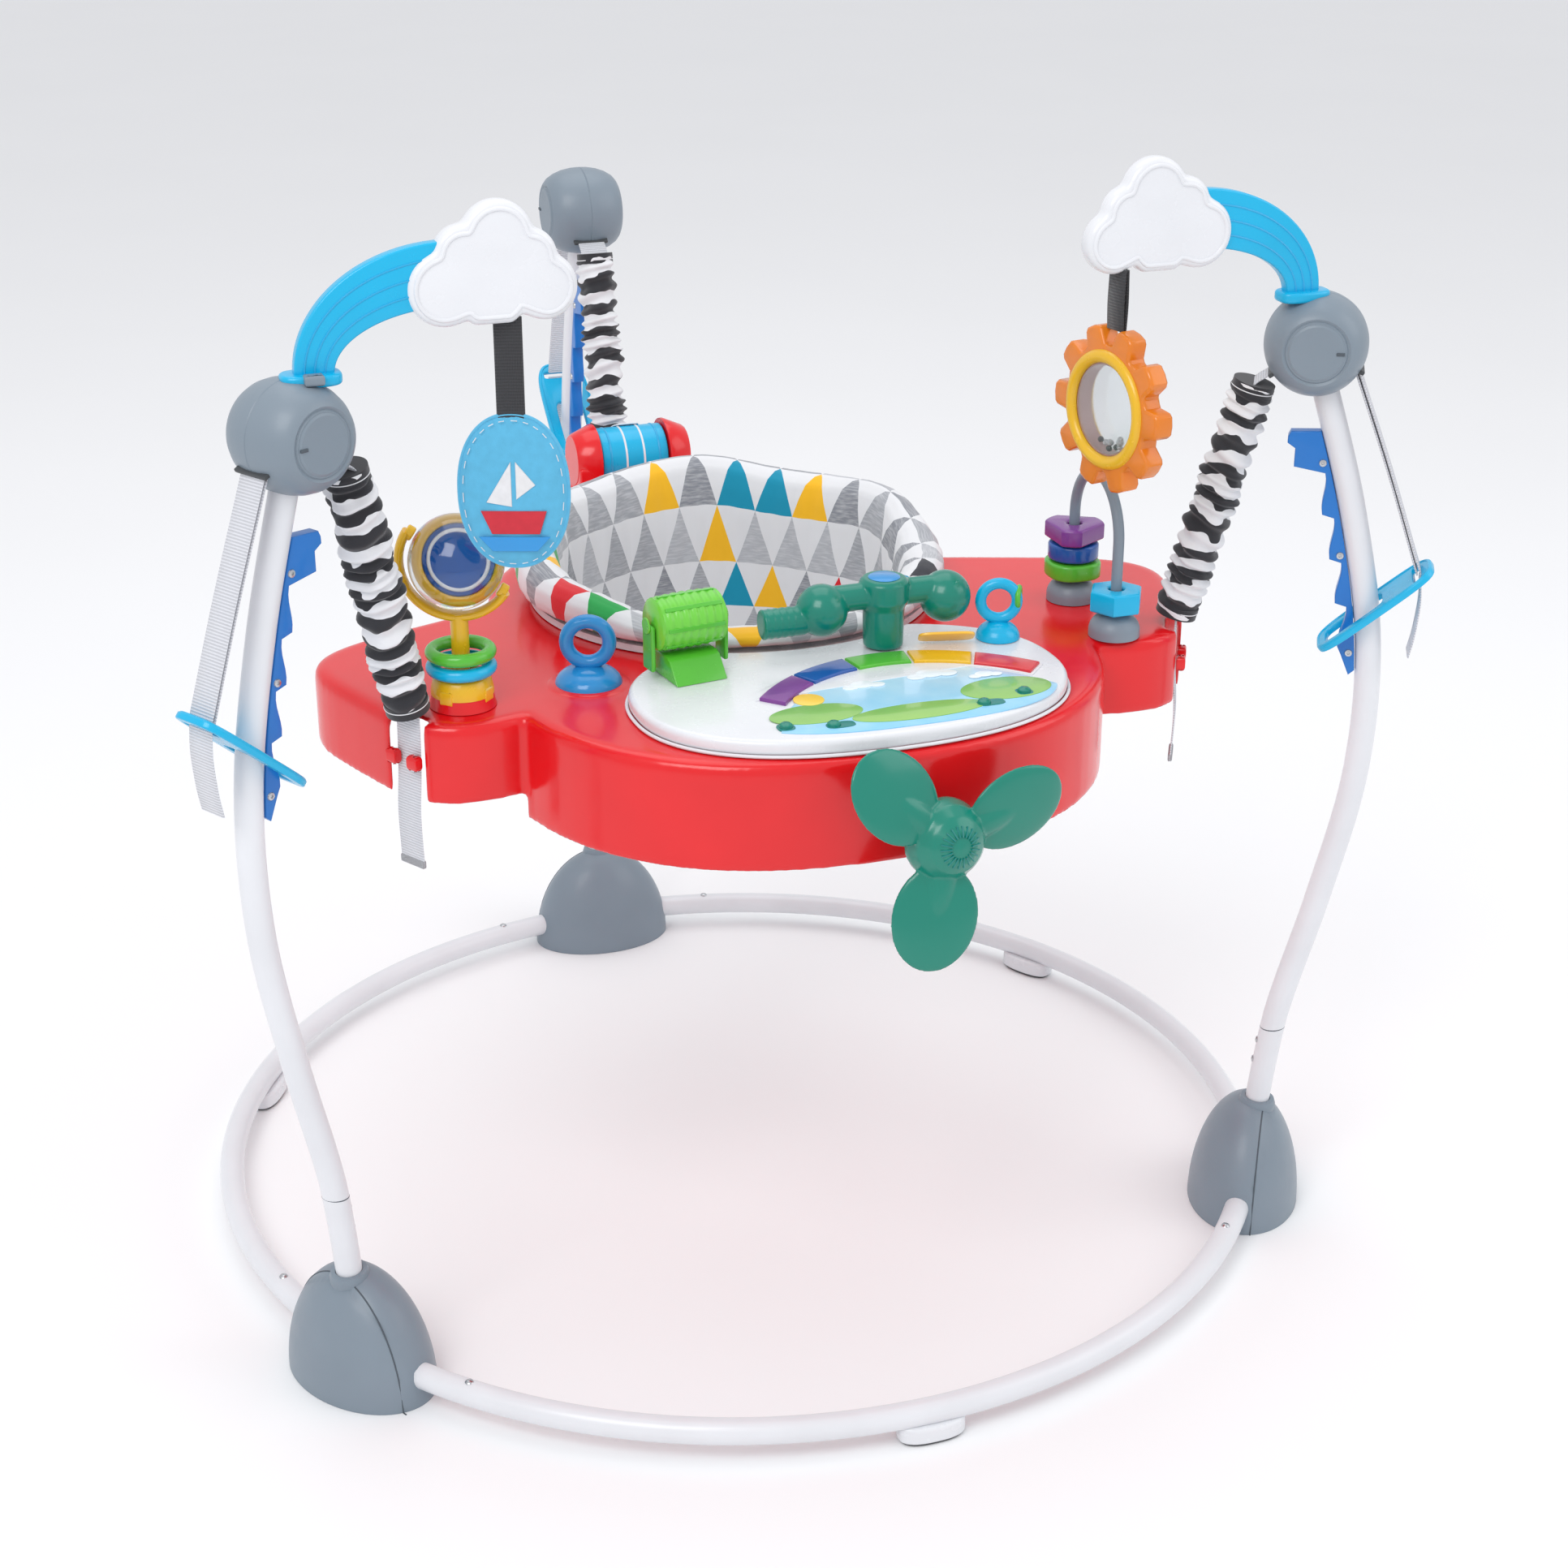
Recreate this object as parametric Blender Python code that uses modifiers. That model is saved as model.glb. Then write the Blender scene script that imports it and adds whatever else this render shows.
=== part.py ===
"""Activity jumper: a three-legged frame on a floor ring, with a toy tray hung from three sprung straps.

Units are metres, +Z is up and the origin is on the floor under the middle of the whole jumper.
The front of the tray, with the propeller, faces -Y. The rear leg stands at +Y. Pieces are placed
about the middle of the floor ring, and all of them move back to the origin at the end.
"""
import math

import bmesh
import bpy
from mathutils import Matrix, Vector

# Frame
RING_RADIUS = 0.430
TUBE_RADIUS = 0.0098
RING_HEIGHT = 0.022
FIT_GAP = 0.0004
CHANNEL_GAP = 0.0008
RING_TO_ORIGIN = -0.0469
LEG_AZIMUTHS = {"left": 210.0, "right": 330.0, "rear": 90.0}
LEG_STATIONS = [(0.036, 0.431), (0.170, 0.445), (0.285, 0.471), (0.390, 0.490), (0.495, 0.490),
                (0.602, 0.469), (0.707, 0.437)]
FOOT_HEIGHT = 0.092
FOOT_HALF_WIDTH = 0.066
FOOT_HALF_DEPTH = 0.045
HUB_HEIGHT = 0.725
HUB_REACH = 0.4326
HUB_RADIUS = 0.038
HUB_HALF_WIDTH = 0.0335

# Height adjusters
RACK_TOP = 0.660
RACK_BOTTOM = 0.470
RACK_DEPTH = 0.013
RACK_THICKNESS = 0.010
RACK_NOTCHES = 4
LOOP_OUTER = (0.532, 0.560)
LOOP_INNER = (0.453, 0.491)
LOOP_WIDTH = 0.048
LOOP_THICKNESS = 0.005

# Toy arms and clouds
ARM_TURN = 30.0
ARM_REACH = 0.105
ARM_RISE = 0.080
ARM_START = 0.004
ARM_FOOT_WIDTH = 0.026
ARM_END_WIDTH = 0.042
ARM_THICKNESS = 0.010
CLOUD_THICKNESS = 0.018
CLOUD_BASE = 0.788
TOY_REACHES = {"left": 0.145, "right": 0.163}

# Tray
TRAY_TOP = 0.502
TRAY_DEPTH = 0.080
EAR_DEPTH = 0.060
TRAY_WALL = 0.003
BODY_CENTRE = (0.0, -0.115)
BODY_HALF = (0.229, 0.229)
SEAT_CENTRE = (0.0, 0.015)
COLLAR_RADIUS = 0.193
EARS = {"left": ((-0.205, -0.0746), (0.130, 0.105), 4, 200.0),
        "right": ((0.205, -0.0746), (0.130, 0.105), 4, 340.0),
        "rear": ((0.0, 0.250), (0.115, 0.062), 6, 90.0)}
SEAT_OPENING = 0.152
SEAT_WALL = 0.157
STRAP_SEATS = {"left": (-0.300, -0.168), "right": (0.300, -0.168), "rear": (0.0, 0.352)}
STRAP_NOTCH = (0.040, 0.034, 0.140)

# Console
CONSOLE_CENTRE = (0.007, -0.2307)
CONSOLE_HALF = (0.160, 0.107)
CONSOLE_HEIGHT = 0.012
CONSOLE_RELIEF = 0.1735
KEY_CENTRE = (0.039, -0.366)
KEY_RADII = (0.148, 0.172)
KEY_SPAN = 96.0
KEY_NAMES = ["purple", "blue", "green", "yellow", "red"]

COLOURS = {
    "white_paint": ((0.86, 0.87, 0.89), 0.35),
    "grey_plastic": ((0.26, 0.31, 0.34), 0.45),
    "cyan_plastic": ((0.0, 0.50, 0.80), 0.35),
    "white_plastic": ((0.86, 0.87, 0.90), 0.35),
    "rack_blue": ((0.0, 0.17, 0.62), 0.4),
    "zebra_fabric": ((0.55, 0.55, 0.58), 0.9),
    "spring_steel": ((0.55, 0.55, 0.56), 0.3),
    "red_plastic": ((0.80, 0.01, 0.02), 0.2),
    "teal_plastic": ((0.0, 0.27, 0.20), 0.25),
    "yellow_plastic": ((0.95, 0.55, 0.0), 0.3),
    "green_plastic": ((0.10, 0.55, 0.03), 0.3),
    "blue_plastic": ((0.02, 0.25, 0.65), 0.3),
    "purple_plastic": ((0.28, 0.03, 0.35), 0.3),
    "orange_plastic": ((0.95, 0.25, 0.01), 0.3),
    "clear_plastic": ((0.75, 0.80, 0.85), 0.1),
    "seat_fabric": ((0.75, 0.76, 0.79), 0.95),
    "toy_fabric": ((0.10, 0.45, 0.75), 0.9),
    "seat_ring_plastic": ((0.75, 0.76, 0.78), 0.5),
}


def clear_scene():
    for old in list(bpy.data.objects):
        bpy.data.objects.remove(old)


def collection(name):
    group = bpy.data.collections.new(name)
    bpy.context.scene.collection.children.link(group)
    return group


clear_scene()
PARTS = collection("activity_jumper")
CUTTERS = collection("cutters")


def material(name):
    found = bpy.data.materials.get(name)
    if found:
        return found
    colour, roughness = COLOURS[name]
    made = bpy.data.materials.new(name)
    made.use_nodes = True
    shader = made.node_tree.nodes["Principled BSDF"]
    shader.inputs["Base Color"].default_value = (*colour, 1.0)
    shader.inputs["Roughness"].default_value = roughness
    shader.inputs["Metallic"].default_value = 1.0 if name == "spring_steel" else 0.0
    return made


def place(name, data, colour, matrix=None):
    obj = bpy.data.objects.new(name, data)
    obj.data.materials.append(material(colour))
    PARTS.objects.link(obj)
    obj.matrix_world = matrix if matrix is not None else Matrix.Identity(4)
    return obj


def finish_mesh(name, bm, colour, matrix=None):
    mesh = bpy.data.meshes.new(name)
    bm.to_mesh(mesh)
    bm.free()
    mesh.shade_smooth()
    mesh.set_sharp_from_angle(angle=math.radians(35))
    return place(name, mesh, colour, matrix)


def polar(reach, azimuth, height):
    angle = math.radians(azimuth)
    return Vector((reach * math.cos(angle), reach * math.sin(angle), height))


def frame_at(point, azimuth=0.0, tilt=0.0, tilt_axis="Y"):
    """Local +X points along the azimuth, +Z up, then an extra tilt about a local axis."""
    turn = Matrix.Rotation(math.radians(azimuth), 4, "Z")
    return Matrix.Translation(point) @ turn @ Matrix.Rotation(math.radians(tilt), 4, tilt_axis)


def standing(point, azimuth):
    """Local XY is the vertical plane along the azimuth: +X outward, +Y up."""
    return frame_at(point, azimuth) @ Matrix.Rotation(math.radians(90.0), 4, "X")


def tube(name, points, radius, colour, resolution=3):
    curve = bpy.data.curves.new(name, "CURVE")
    curve.dimensions = "3D"
    spline = curve.splines.new("POLY")
    spline.points.add(len(points) - 1)
    for knot, point in zip(spline.points, points):
        knot.co = (*point, 1.0)
    curve.bevel_depth = radius
    curve.bevel_resolution = resolution
    curve.use_fill_caps = True
    return place(name, curve, colour)


def plate(name, outlines, thickness, colour, matrix=None):
    """A flat piece of even thickness: the first outline is its edge, the others are holes."""
    curve = bpy.data.curves.new(name, "CURVE")
    curve.dimensions = "2D"
    curve.fill_mode = "BOTH"
    curve.extrude = thickness / 2
    for outline in outlines:
        spline = curve.splines.new("POLY")
        spline.points.add(len(outline) - 1)
        for knot, (x, y) in zip(spline.points, outline):
            knot.co = (x, y, 0.0, 1.0)
        spline.use_cyclic_u = True
    return place(name, curve, colour, matrix)


def as_mesh(obj):
    """The same object as a welded mesh, so that it takes a Boolean."""
    bpy.context.view_layer.update()
    evaluated = obj.evaluated_get(bpy.context.evaluated_depsgraph_get())
    mesh = bpy.data.meshes.new_from_object(evaluated)
    bm = bmesh.new()
    bm.from_mesh(mesh)
    bmesh.ops.remove_doubles(bm, verts=bm.verts, dist=0.00002)
    bm.to_mesh(mesh)
    bm.free()
    mesh.set_sharp_from_angle(angle=math.radians(35))
    name, matrix, old = obj.name, obj.matrix_world.copy(), obj.data
    bpy.data.objects.remove(obj)
    bpy.data.curves.remove(old)
    new = bpy.data.objects.new(name, mesh)
    PARTS.objects.link(new)
    new.matrix_world = matrix
    return new


def turned(name, profile, colour, matrix=None, steps=24):
    """A turned piece: the profile runs down the outer side, as (radius, height) pairs."""
    mesh = bpy.data.meshes.new(name)
    edges = [(i, i + 1) for i in range(len(profile) - 1)]
    mesh.from_pydata([(radius, 0.0, height) for radius, height in profile], edges, [])
    obj = place(name, mesh, colour, matrix)
    screw = obj.modifiers.new("turn", "SCREW")
    screw.steps = steps
    screw.render_steps = steps
    screw.use_merge_vertices = True
    screw.merge_threshold = 0.00001
    return obj


def box(name, size, colour, matrix=None):
    bm = bmesh.new()
    bmesh.ops.create_cube(bm, size=1.0, matrix=Matrix.Diagonal((*size, 1.0)))
    return finish_mesh(name, bm, colour, matrix)


def ball(name, radii, colour, matrix=None, segments=16, rings=10):
    bm = bmesh.new()
    bmesh.ops.create_uvsphere(bm, u_segments=segments, v_segments=rings, radius=1.0,
                              matrix=Matrix.Diagonal((*radii, 1.0)))
    return finish_mesh(name, bm, colour, matrix)


def cylinder(name, radius, length, colour, matrix=None, sides=24):
    bm = bmesh.new()
    bmesh.ops.create_cone(bm, cap_ends=True, segments=sides, radius1=radius, radius2=radius, depth=length)
    return finish_mesh(name, bm, colour, matrix)


def torus(name, major, minor, colour, matrix=None, around=16, across=6):
    bpy.ops.mesh.primitive_torus_add(major_radius=major, minor_radius=minor,
                                     major_segments=around, minor_segments=across)
    made = bpy.context.object
    mesh = made.data
    bpy.data.objects.remove(made)
    mesh.shade_smooth()
    return place(name, mesh, colour, matrix)


def boolean(obj, other, operation):
    PARTS.objects.unlink(other)
    CUTTERS.objects.link(other)
    other.hide_render = True
    other.display_type = "WIRE"
    modifier = obj.modifiers.new(operation.lower(), "BOOLEAN")
    modifier.operation = operation
    modifier.object = other
    return obj


def cut(obj, *others):
    for other in others:
        boolean(obj, other, "DIFFERENCE")
    return obj


def join(obj, *others):
    for other in others:
        boolean(obj, other, "UNION")
    return obj


def superellipse(centre, half, power, count, azimuth=0.0):
    turn = math.radians(azimuth)
    points = []
    for i in range(count):
        angle = 2 * math.pi * i / count
        c, s = math.cos(angle), math.sin(angle)
        x = half[0] * math.copysign(abs(c) ** (2 / power), c)
        y = half[1] * math.copysign(abs(s) ** (2 / power), s)
        points.append((centre[0] + x * math.cos(turn) - y * math.sin(turn),
                       centre[1] + x * math.sin(turn) + y * math.cos(turn)))
    return points


def arc_points(reach, start, end, height, step=6.0):
    count = max(2, round(abs(end - start) / step))
    return [polar(reach, start + (end - start) * i / count, height) for i in range(count + 1)]


def leg_reach(height):
    """Distance of the leg's centre line from the middle of the jumper (Catmull-Rom)."""
    heights = [station[0] for station in LEG_STATIONS]
    reaches = [station[1] for station in LEG_STATIONS]
    last = len(heights) - 2
    k = max(0, min(last, sum(1 for h in heights[1:-1] if h <= height)))
    t = (height - heights[k]) / (heights[k + 1] - heights[k])
    before = reaches[k - 1] if k > 0 else 2 * reaches[0] - reaches[1]
    after = reaches[k + 2] if k < last else 2 * reaches[-1] - reaches[-2]
    p1, p2 = reaches[k], reaches[k + 1]
    return 0.5 * (2 * p1 + (p2 - before) * t + (2 * before - 5 * p1 + 4 * p2 - after) * t ** 2
                  + (3 * p1 - before - 3 * p2 + after) * t ** 3)


def leg_points(azimuth, bottom, top, count):
    heights = [bottom + (top - bottom) * i / count for i in range(count + 1)]
    return [polar(leg_reach(h), azimuth, h) for h in heights]


# ---------------------------------------------------------------- floor ring, feet and legs

def base_tube(name, start, end):
    trim = 0.25
    tube(name, arc_points(RING_RADIUS, start + trim, end - trim, RING_HEIGHT), TUBE_RADIUS,
         "white_paint")


def foot(side, azimuth):
    bm = bmesh.new()
    bmesh.ops.create_uvsphere(bm, u_segments=20, v_segments=12, radius=1.0,
                              matrix=Matrix.Diagonal((FOOT_HALF_DEPTH, FOOT_HALF_WIDTH,
                                                      FOOT_HEIGHT, 1.0)))
    sliced = bmesh.ops.bisect_plane(bm, geom=bm.verts[:] + bm.edges[:] + bm.faces[:],
                                    plane_co=(0, 0, 0), plane_no=(0, 0, 1), clear_inner=True,
                                    dist=0.00001)
    rim = [e for e in sliced["geom_cut"] if isinstance(e, bmesh.types.BMEdge)]
    bmesh.ops.holes_fill(bm, edges=rim)
    bmesh.ops.recalc_face_normals(bm, faces=bm.faces)
    body = finish_mesh(f"foot_{side}", bm, "grey_plastic",
                       frame_at(polar(RING_RADIUS, azimuth, 0), azimuth))
    reach = math.degrees(FOOT_HALF_WIDTH / RING_RADIUS) + 3
    channel = tube(f"foot_{side}_ring_channel",
                   arc_points(RING_RADIUS, azimuth - reach, azimuth + reach, RING_HEIGHT),
                   TUBE_RADIUS + CHANNEL_GAP, "grey_plastic")
    socket = tube(f"foot_{side}_leg_socket", leg_points(azimuth, 0.0355, 0.120, 4),
                  TUBE_RADIUS + FIT_GAP, "grey_plastic")
    cut(body, as_mesh(channel), as_mesh(socket))


def leg(side, azimuth):
    tube(f"leg_{side}", leg_points(azimuth, 0.036, HUB_HEIGHT - 0.018, 16), TUBE_RADIUS,
         "white_paint")


# ---------------------------------------------------------------- hubs

HUB_PROFILE = [(0.0, HUB_HALF_WIDTH), (0.0235, HUB_HALF_WIDTH), (0.0248, 0.0320), (0.0262, 0.0320),
               (0.0310, 0.0270), (0.0355, 0.0165), (HUB_RADIUS, 0.0), (0.0355, -0.0165),
               (0.0310, -0.0270), (0.0262, -0.0320), (0.0248, -0.0320),
               (0.0235, -HUB_HALF_WIDTH), (0.0, -HUB_HALF_WIDTH)]
HUB_SLOT = (0.016, 0.032, 0.0045)
INNER_SLOT_ANGLE = 216.0
OUTER_SLOT_ANGLE = -27.0


def hub_point(azimuth, angle, distance):
    """A point round the hub's axis: the angle is 0 outward and 90 up."""
    turn = math.radians(angle)
    return polar(HUB_REACH + distance * math.cos(turn), azimuth,
                 HUB_HEIGHT + distance * math.sin(turn))


def arm_direction(side):
    return 30.0 - ARM_TURN if side == "left" else 150.0 + ARM_TURN


def peg_point(side, azimuth, height):
    """The arm's peg stands a little inward of the hub's top."""
    return polar(HUB_REACH, azimuth, height) + polar(0.014, arm_direction(side), 0)


def hub(side, azimuth):
    axis_sideways = Matrix.Rotation(math.radians(-90.0), 4, "X")
    body = turned(f"hub_{side}", HUB_PROFILE, "grey_plastic",
                  frame_at(polar(HUB_REACH, azimuth, HUB_HEIGHT), azimuth) @ axis_sideways, steps=20)
    socket = tube(f"hub_{side}_leg_socket", leg_points(azimuth, 0.640, HUB_HEIGHT - 0.0175, 5),
                  TUBE_RADIUS + FIT_GAP, "grey_plastic")
    cut(body, as_mesh(socket))
    for label, angle in (("inner", INNER_SLOT_ANGLE), ("outer", OUTER_SLOT_ANGLE)):
        slot = box(f"hub_{side}_{label}_slot", HUB_SLOT, "grey_plastic",
                   frame_at(hub_point(azimuth, angle, HUB_RADIUS), azimuth, -angle))
        cut(body, slot)
    if side != "rear":
        peg_hole = cylinder(f"hub_{side}_peg_hole", 0.0064, 0.030, "grey_plastic",
                            frame_at(peg_point(side, azimuth, HUB_HEIGHT + 0.032)), sides=16)
        cut(body, peg_hole)


# ---------------------------------------------------------------- height adjusters

def rack_outline():
    """Outline in the leg's radial plane: (reach, height). Scallops face the middle."""
    outline = []
    steps = 8
    inner_side = TUBE_RADIUS + FIT_GAP
    for i in range(steps + 1):
        h = RACK_BOTTOM + 0.004 + (RACK_TOP - RACK_BOTTOM - 0.004) * i / steps
        outline.append((leg_reach(h) - inner_side, h))
    hook = 0.024
    pitch = (RACK_TOP - 0.030 - RACK_BOTTOM - 0.022) / RACK_NOTCHES
    top = leg_reach(RACK_TOP) - inner_side
    outline += [(top - hook + 0.002, RACK_TOP - 0.001), (top - hook, RACK_TOP - 0.010),
                (top - hook + 0.006, RACK_TOP - 0.014), (top - hook + 0.006, RACK_TOP - 0.028)]
    for n in range(RACK_NOTCHES):
        upper = RACK_TOP - 0.030 - n * pitch
        for down, depth in ((0.002, 0.35), (0.25 * pitch, 0.45), (0.75 * pitch, 1.0), (0.95 * pitch, 0.95)):
            h = upper - down
            outline.append((leg_reach(h) - inner_side - RACK_DEPTH * depth, h))
    tip = RACK_BOTTOM + 0.016
    outline += [(leg_reach(tip) - inner_side - RACK_DEPTH * 0.8, tip),
                (leg_reach(RACK_BOTTOM) - inner_side - RACK_DEPTH * 0.35, RACK_BOTTOM)]
    return outline


def rack(side, azimuth):
    plate(f"height_rack_{side}", [rack_outline()], RACK_THICKNESS, "rack_blue",
          standing(Vector((0, 0, 0)), azimuth))


def adjuster_loop(side, azimuth):
    """A tilted plate round the leg and rack, which slides and drops into a notch."""
    length = math.dist(LOOP_OUTER, LOOP_INNER)
    tilt = math.degrees(math.atan2(LOOP_OUTER[1] - LOOP_INNER[1], LOOP_OUTER[0] - LOOP_INNER[0]))
    mid_reach = (LOOP_OUTER[0] + LOOP_INNER[0]) / 2
    mid_height = (LOOP_OUTER[1] + LOOP_INNER[1]) / 2
    edge = superellipse((0, 0), (length / 2, LOOP_WIDTH / 2), 4, 32)
    leg_hole = superellipse((-0.0182, 0), (0.0262, 0.0125), 6, 24)
    strap_slot = superellipse((0.0390, 0), (0.0035, 0.0165), 6, 16)
    matrix = frame_at(polar(mid_reach, azimuth, mid_height), azimuth, -tilt)
    plate(f"adjuster_loop_{side}", [edge, leg_hole, strap_slot], LOOP_THICKNESS, "cyan_plastic", matrix)


# ---------------------------------------------------------------- toy arms and clouds

def arm_outline(grow=0.0):
    """(distance from hub, height): a band that widens from the hub to the cloud."""
    base = HUB_HEIGHT + HUB_RADIUS + 0.0006
    steps = 10
    outer, inner = [], []
    for i in range(steps + 1):
        t = math.pi / 2 * (1 + grow / ARM_REACH) * i / steps
        outer.append((ARM_REACH - (ARM_REACH - ARM_START + grow) * math.cos(t),
                      base + (ARM_RISE + grow) * math.sin(t)))
        inner.append((ARM_REACH - (ARM_REACH - ARM_START - ARM_FOOT_WIDTH - grow) * math.cos(t),
                      base + (ARM_RISE - ARM_END_WIDTH - grow) * math.sin(t)))
    return outer + inner[::-1]


def arm(side, azimuth):
    matrix = standing(polar(HUB_REACH, azimuth, 0), arm_direction(side))
    band = as_mesh(plate(f"toy_arm_{side}", [arm_outline()], ARM_THICKNESS, "cyan_plastic", matrix))
    peg = cylinder(f"toy_arm_{side}_peg", 0.0058, 0.026, "cyan_plastic",
                   frame_at(peg_point(side, azimuth, HUB_HEIGHT + 0.034)), sides=16)
    join(band, peg)


CLOUD_LOBES = [(0.104, 0.813, 0.0250), (0.117, 0.834, 0.0195), (0.140, 0.844, 0.0240),
               (0.160, 0.830, 0.0190), (0.170, 0.810, 0.0220), (0.135, 0.811, 0.0260)]
CLOUD_MIDDLE = (0.137, 0.814)


def cloud_outline(count=56):
    """Outer envelope of the lobes seen from the middle, with a flat base."""
    points = []
    for i in range(count):
        angle = 2 * math.pi * i / count
        dx, dy = math.cos(angle), math.sin(angle)
        reach = 0.0
        for x, y, radius in CLOUD_LOBES:
            ox, oy = x - CLOUD_MIDDLE[0], y - CLOUD_MIDDLE[1]
            along = ox * dx + oy * dy
            inside = radius ** 2 - (ox ** 2 + oy ** 2 - along ** 2)
            if inside > 0:
                reach = max(reach, along + math.sqrt(inside))
        if dy < 0:
            reach = min(reach, (CLOUD_MIDDLE[1] - CLOUD_BASE) / -dy)
        points.append((CLOUD_MIDDLE[0] + reach * dx, CLOUD_MIDDLE[1] + reach * dy))
    return points


def cloud(side, azimuth):
    matrix = standing(polar(HUB_REACH, azimuth, 0), arm_direction(side))
    body = as_mesh(plate(f"cloud_{side}", [cloud_outline()], CLOUD_THICKNESS, "white_plastic", matrix))
    pocket = plate(f"cloud_{side}_pocket", [arm_outline(FIT_GAP)], ARM_THICKNESS + 2 * FIT_GAP,
                   "white_plastic", matrix)
    cut(body, as_mesh(pocket))
    body.modifiers["difference"].solver = "MANIFOLD"


def toy_anchor(side, azimuth):
    """Where the toy's strap leaves the underside of its cloud."""
    return polar(HUB_REACH, azimuth, CLOUD_BASE - 0.0006) + polar(TOY_REACHES[side], arm_direction(side), 0)


def hanging_strap(name, anchor, length, facing, colour="toy_fabric"):
    matrix = standing(anchor - Vector((0, 0, length / 2)), facing)
    return box(name, (0.020, length, 0.003), colour, matrix)


def fabric_toy():
    anchor = toy_anchor("left", LEG_AZIMUTHS["left"])
    facing = arm_direction("left") - 20
    middle = anchor - Vector((0, 0, 0.114))
    pad = as_mesh(plate("hanging_fabric_toy", [superellipse((0, 0), (0.037, 0.053), 2.2, 40)],
                        0.010, "toy_fabric", standing(middle, facing)))
    join(pad, hanging_strap("fabric_toy_strap", anchor, 0.073, facing))


SUN_POINTS = 10
SUN_RADII = (0.048, 0.060)


def sun_rattle():
    anchor = toy_anchor("right", LEG_AZIMUTHS["right"])
    facing = 101.0
    middle = anchor - Vector((0, 0, 0.097))
    outline = []
    for n in range(SUN_POINTS):
        for part, radius in ((-0.34, SUN_RADII[0]), (-0.22, SUN_RADII[1]), (0.22, SUN_RADII[1]),
                             (0.34, SUN_RADII[0])):
            angle = 2 * math.pi * (n + part + 0.5) / SUN_POINTS + math.pi / 2
            outline.append((radius * math.cos(angle), radius * math.sin(angle)))
    rays = as_mesh(plate("hanging_sun_rattle", [outline], 0.016, "orange_plastic",
                         standing(middle, facing)))
    join(rays, hanging_strap("sun_strap", anchor, 0.046, facing))


# ---------------------------------------------------------------- sprung suspension

SLEEVE_RADIUS = 0.0150
SLEEVE_WALL = 0.0020
SPRING_RADIUS = 0.0095
SPRING_WIRE = 0.0013
SPRING_TURNS = 6
POINTS_PER_TURN = 8


def strap_line(side, azimuth):
    """From the hub's inner slot to the slot in the tray's ear."""
    upper = hub_point(azimuth, INNER_SLOT_ANGLE, HUB_RADIUS + 0.014)
    lower = Vector((*STRAP_SEATS[side], TRAY_TOP + 0.006))
    return upper, lower


def along(upper, lower):
    direction = (upper - lower).normalized()
    return Matrix.Translation(lower) @ direction.to_track_quat("Z", "Y").to_matrix().to_4x4()


def sleeve(side, azimuth):
    upper, lower = strap_line(side, azimuth)
    length = (upper - lower).length
    inner = SLEEVE_RADIUS - SLEEVE_WALL
    profile = [(inner, length), (SLEEVE_RADIUS, length), (SLEEVE_RADIUS, 0.0), (inner, 0.0),
               (inner, length)]
    turned(f"spring_sleeve_{side}", profile, "zebra_fabric", along(upper, lower), steps=14)


def spring(side, azimuth):
    upper, lower = strap_line(side, azimuth)
    matrix = along(upper, lower)
    start, length = 0.004, (upper - lower).length - 0.008
    points = []
    count = SPRING_TURNS * POINTS_PER_TURN
    for i in range(count + 1):
        turn = 2 * math.pi * i / POINTS_PER_TURN
        points.append(matrix @ Vector((SPRING_RADIUS * math.cos(turn), SPRING_RADIUS * math.sin(turn),
                                       start + length * i / count)))
    tube(f"bounce_spring_{side}", points, SPRING_WIRE, "spring_steel", resolution=1)


# ---------------------------------------------------------------- tray

def prism(name, outline, top, depth, colour="red_plastic"):
    return as_mesh(plate(name, [outline], depth, colour,
                         Matrix.Translation((0, 0, top - depth / 2))))


def ear_outline(side, shrink=0.0):
    centre, half, power, azimuth = EARS[side]
    return superellipse(centre, (half[0] - shrink, half[1] - shrink), power, 24, azimuth)


def body_outline(shrink=0.0):
    return superellipse(BODY_CENTRE, (BODY_HALF[0] - shrink, BODY_HALF[1] - shrink), 2.4, 32)


def at_tray(x, y, above=0.0):
    return Vector((x, y, TRAY_TOP + above))


def at_seat(height=0.0):
    return Matrix.Translation((*SEAT_CENTRE, TRAY_TOP + height))


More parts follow.
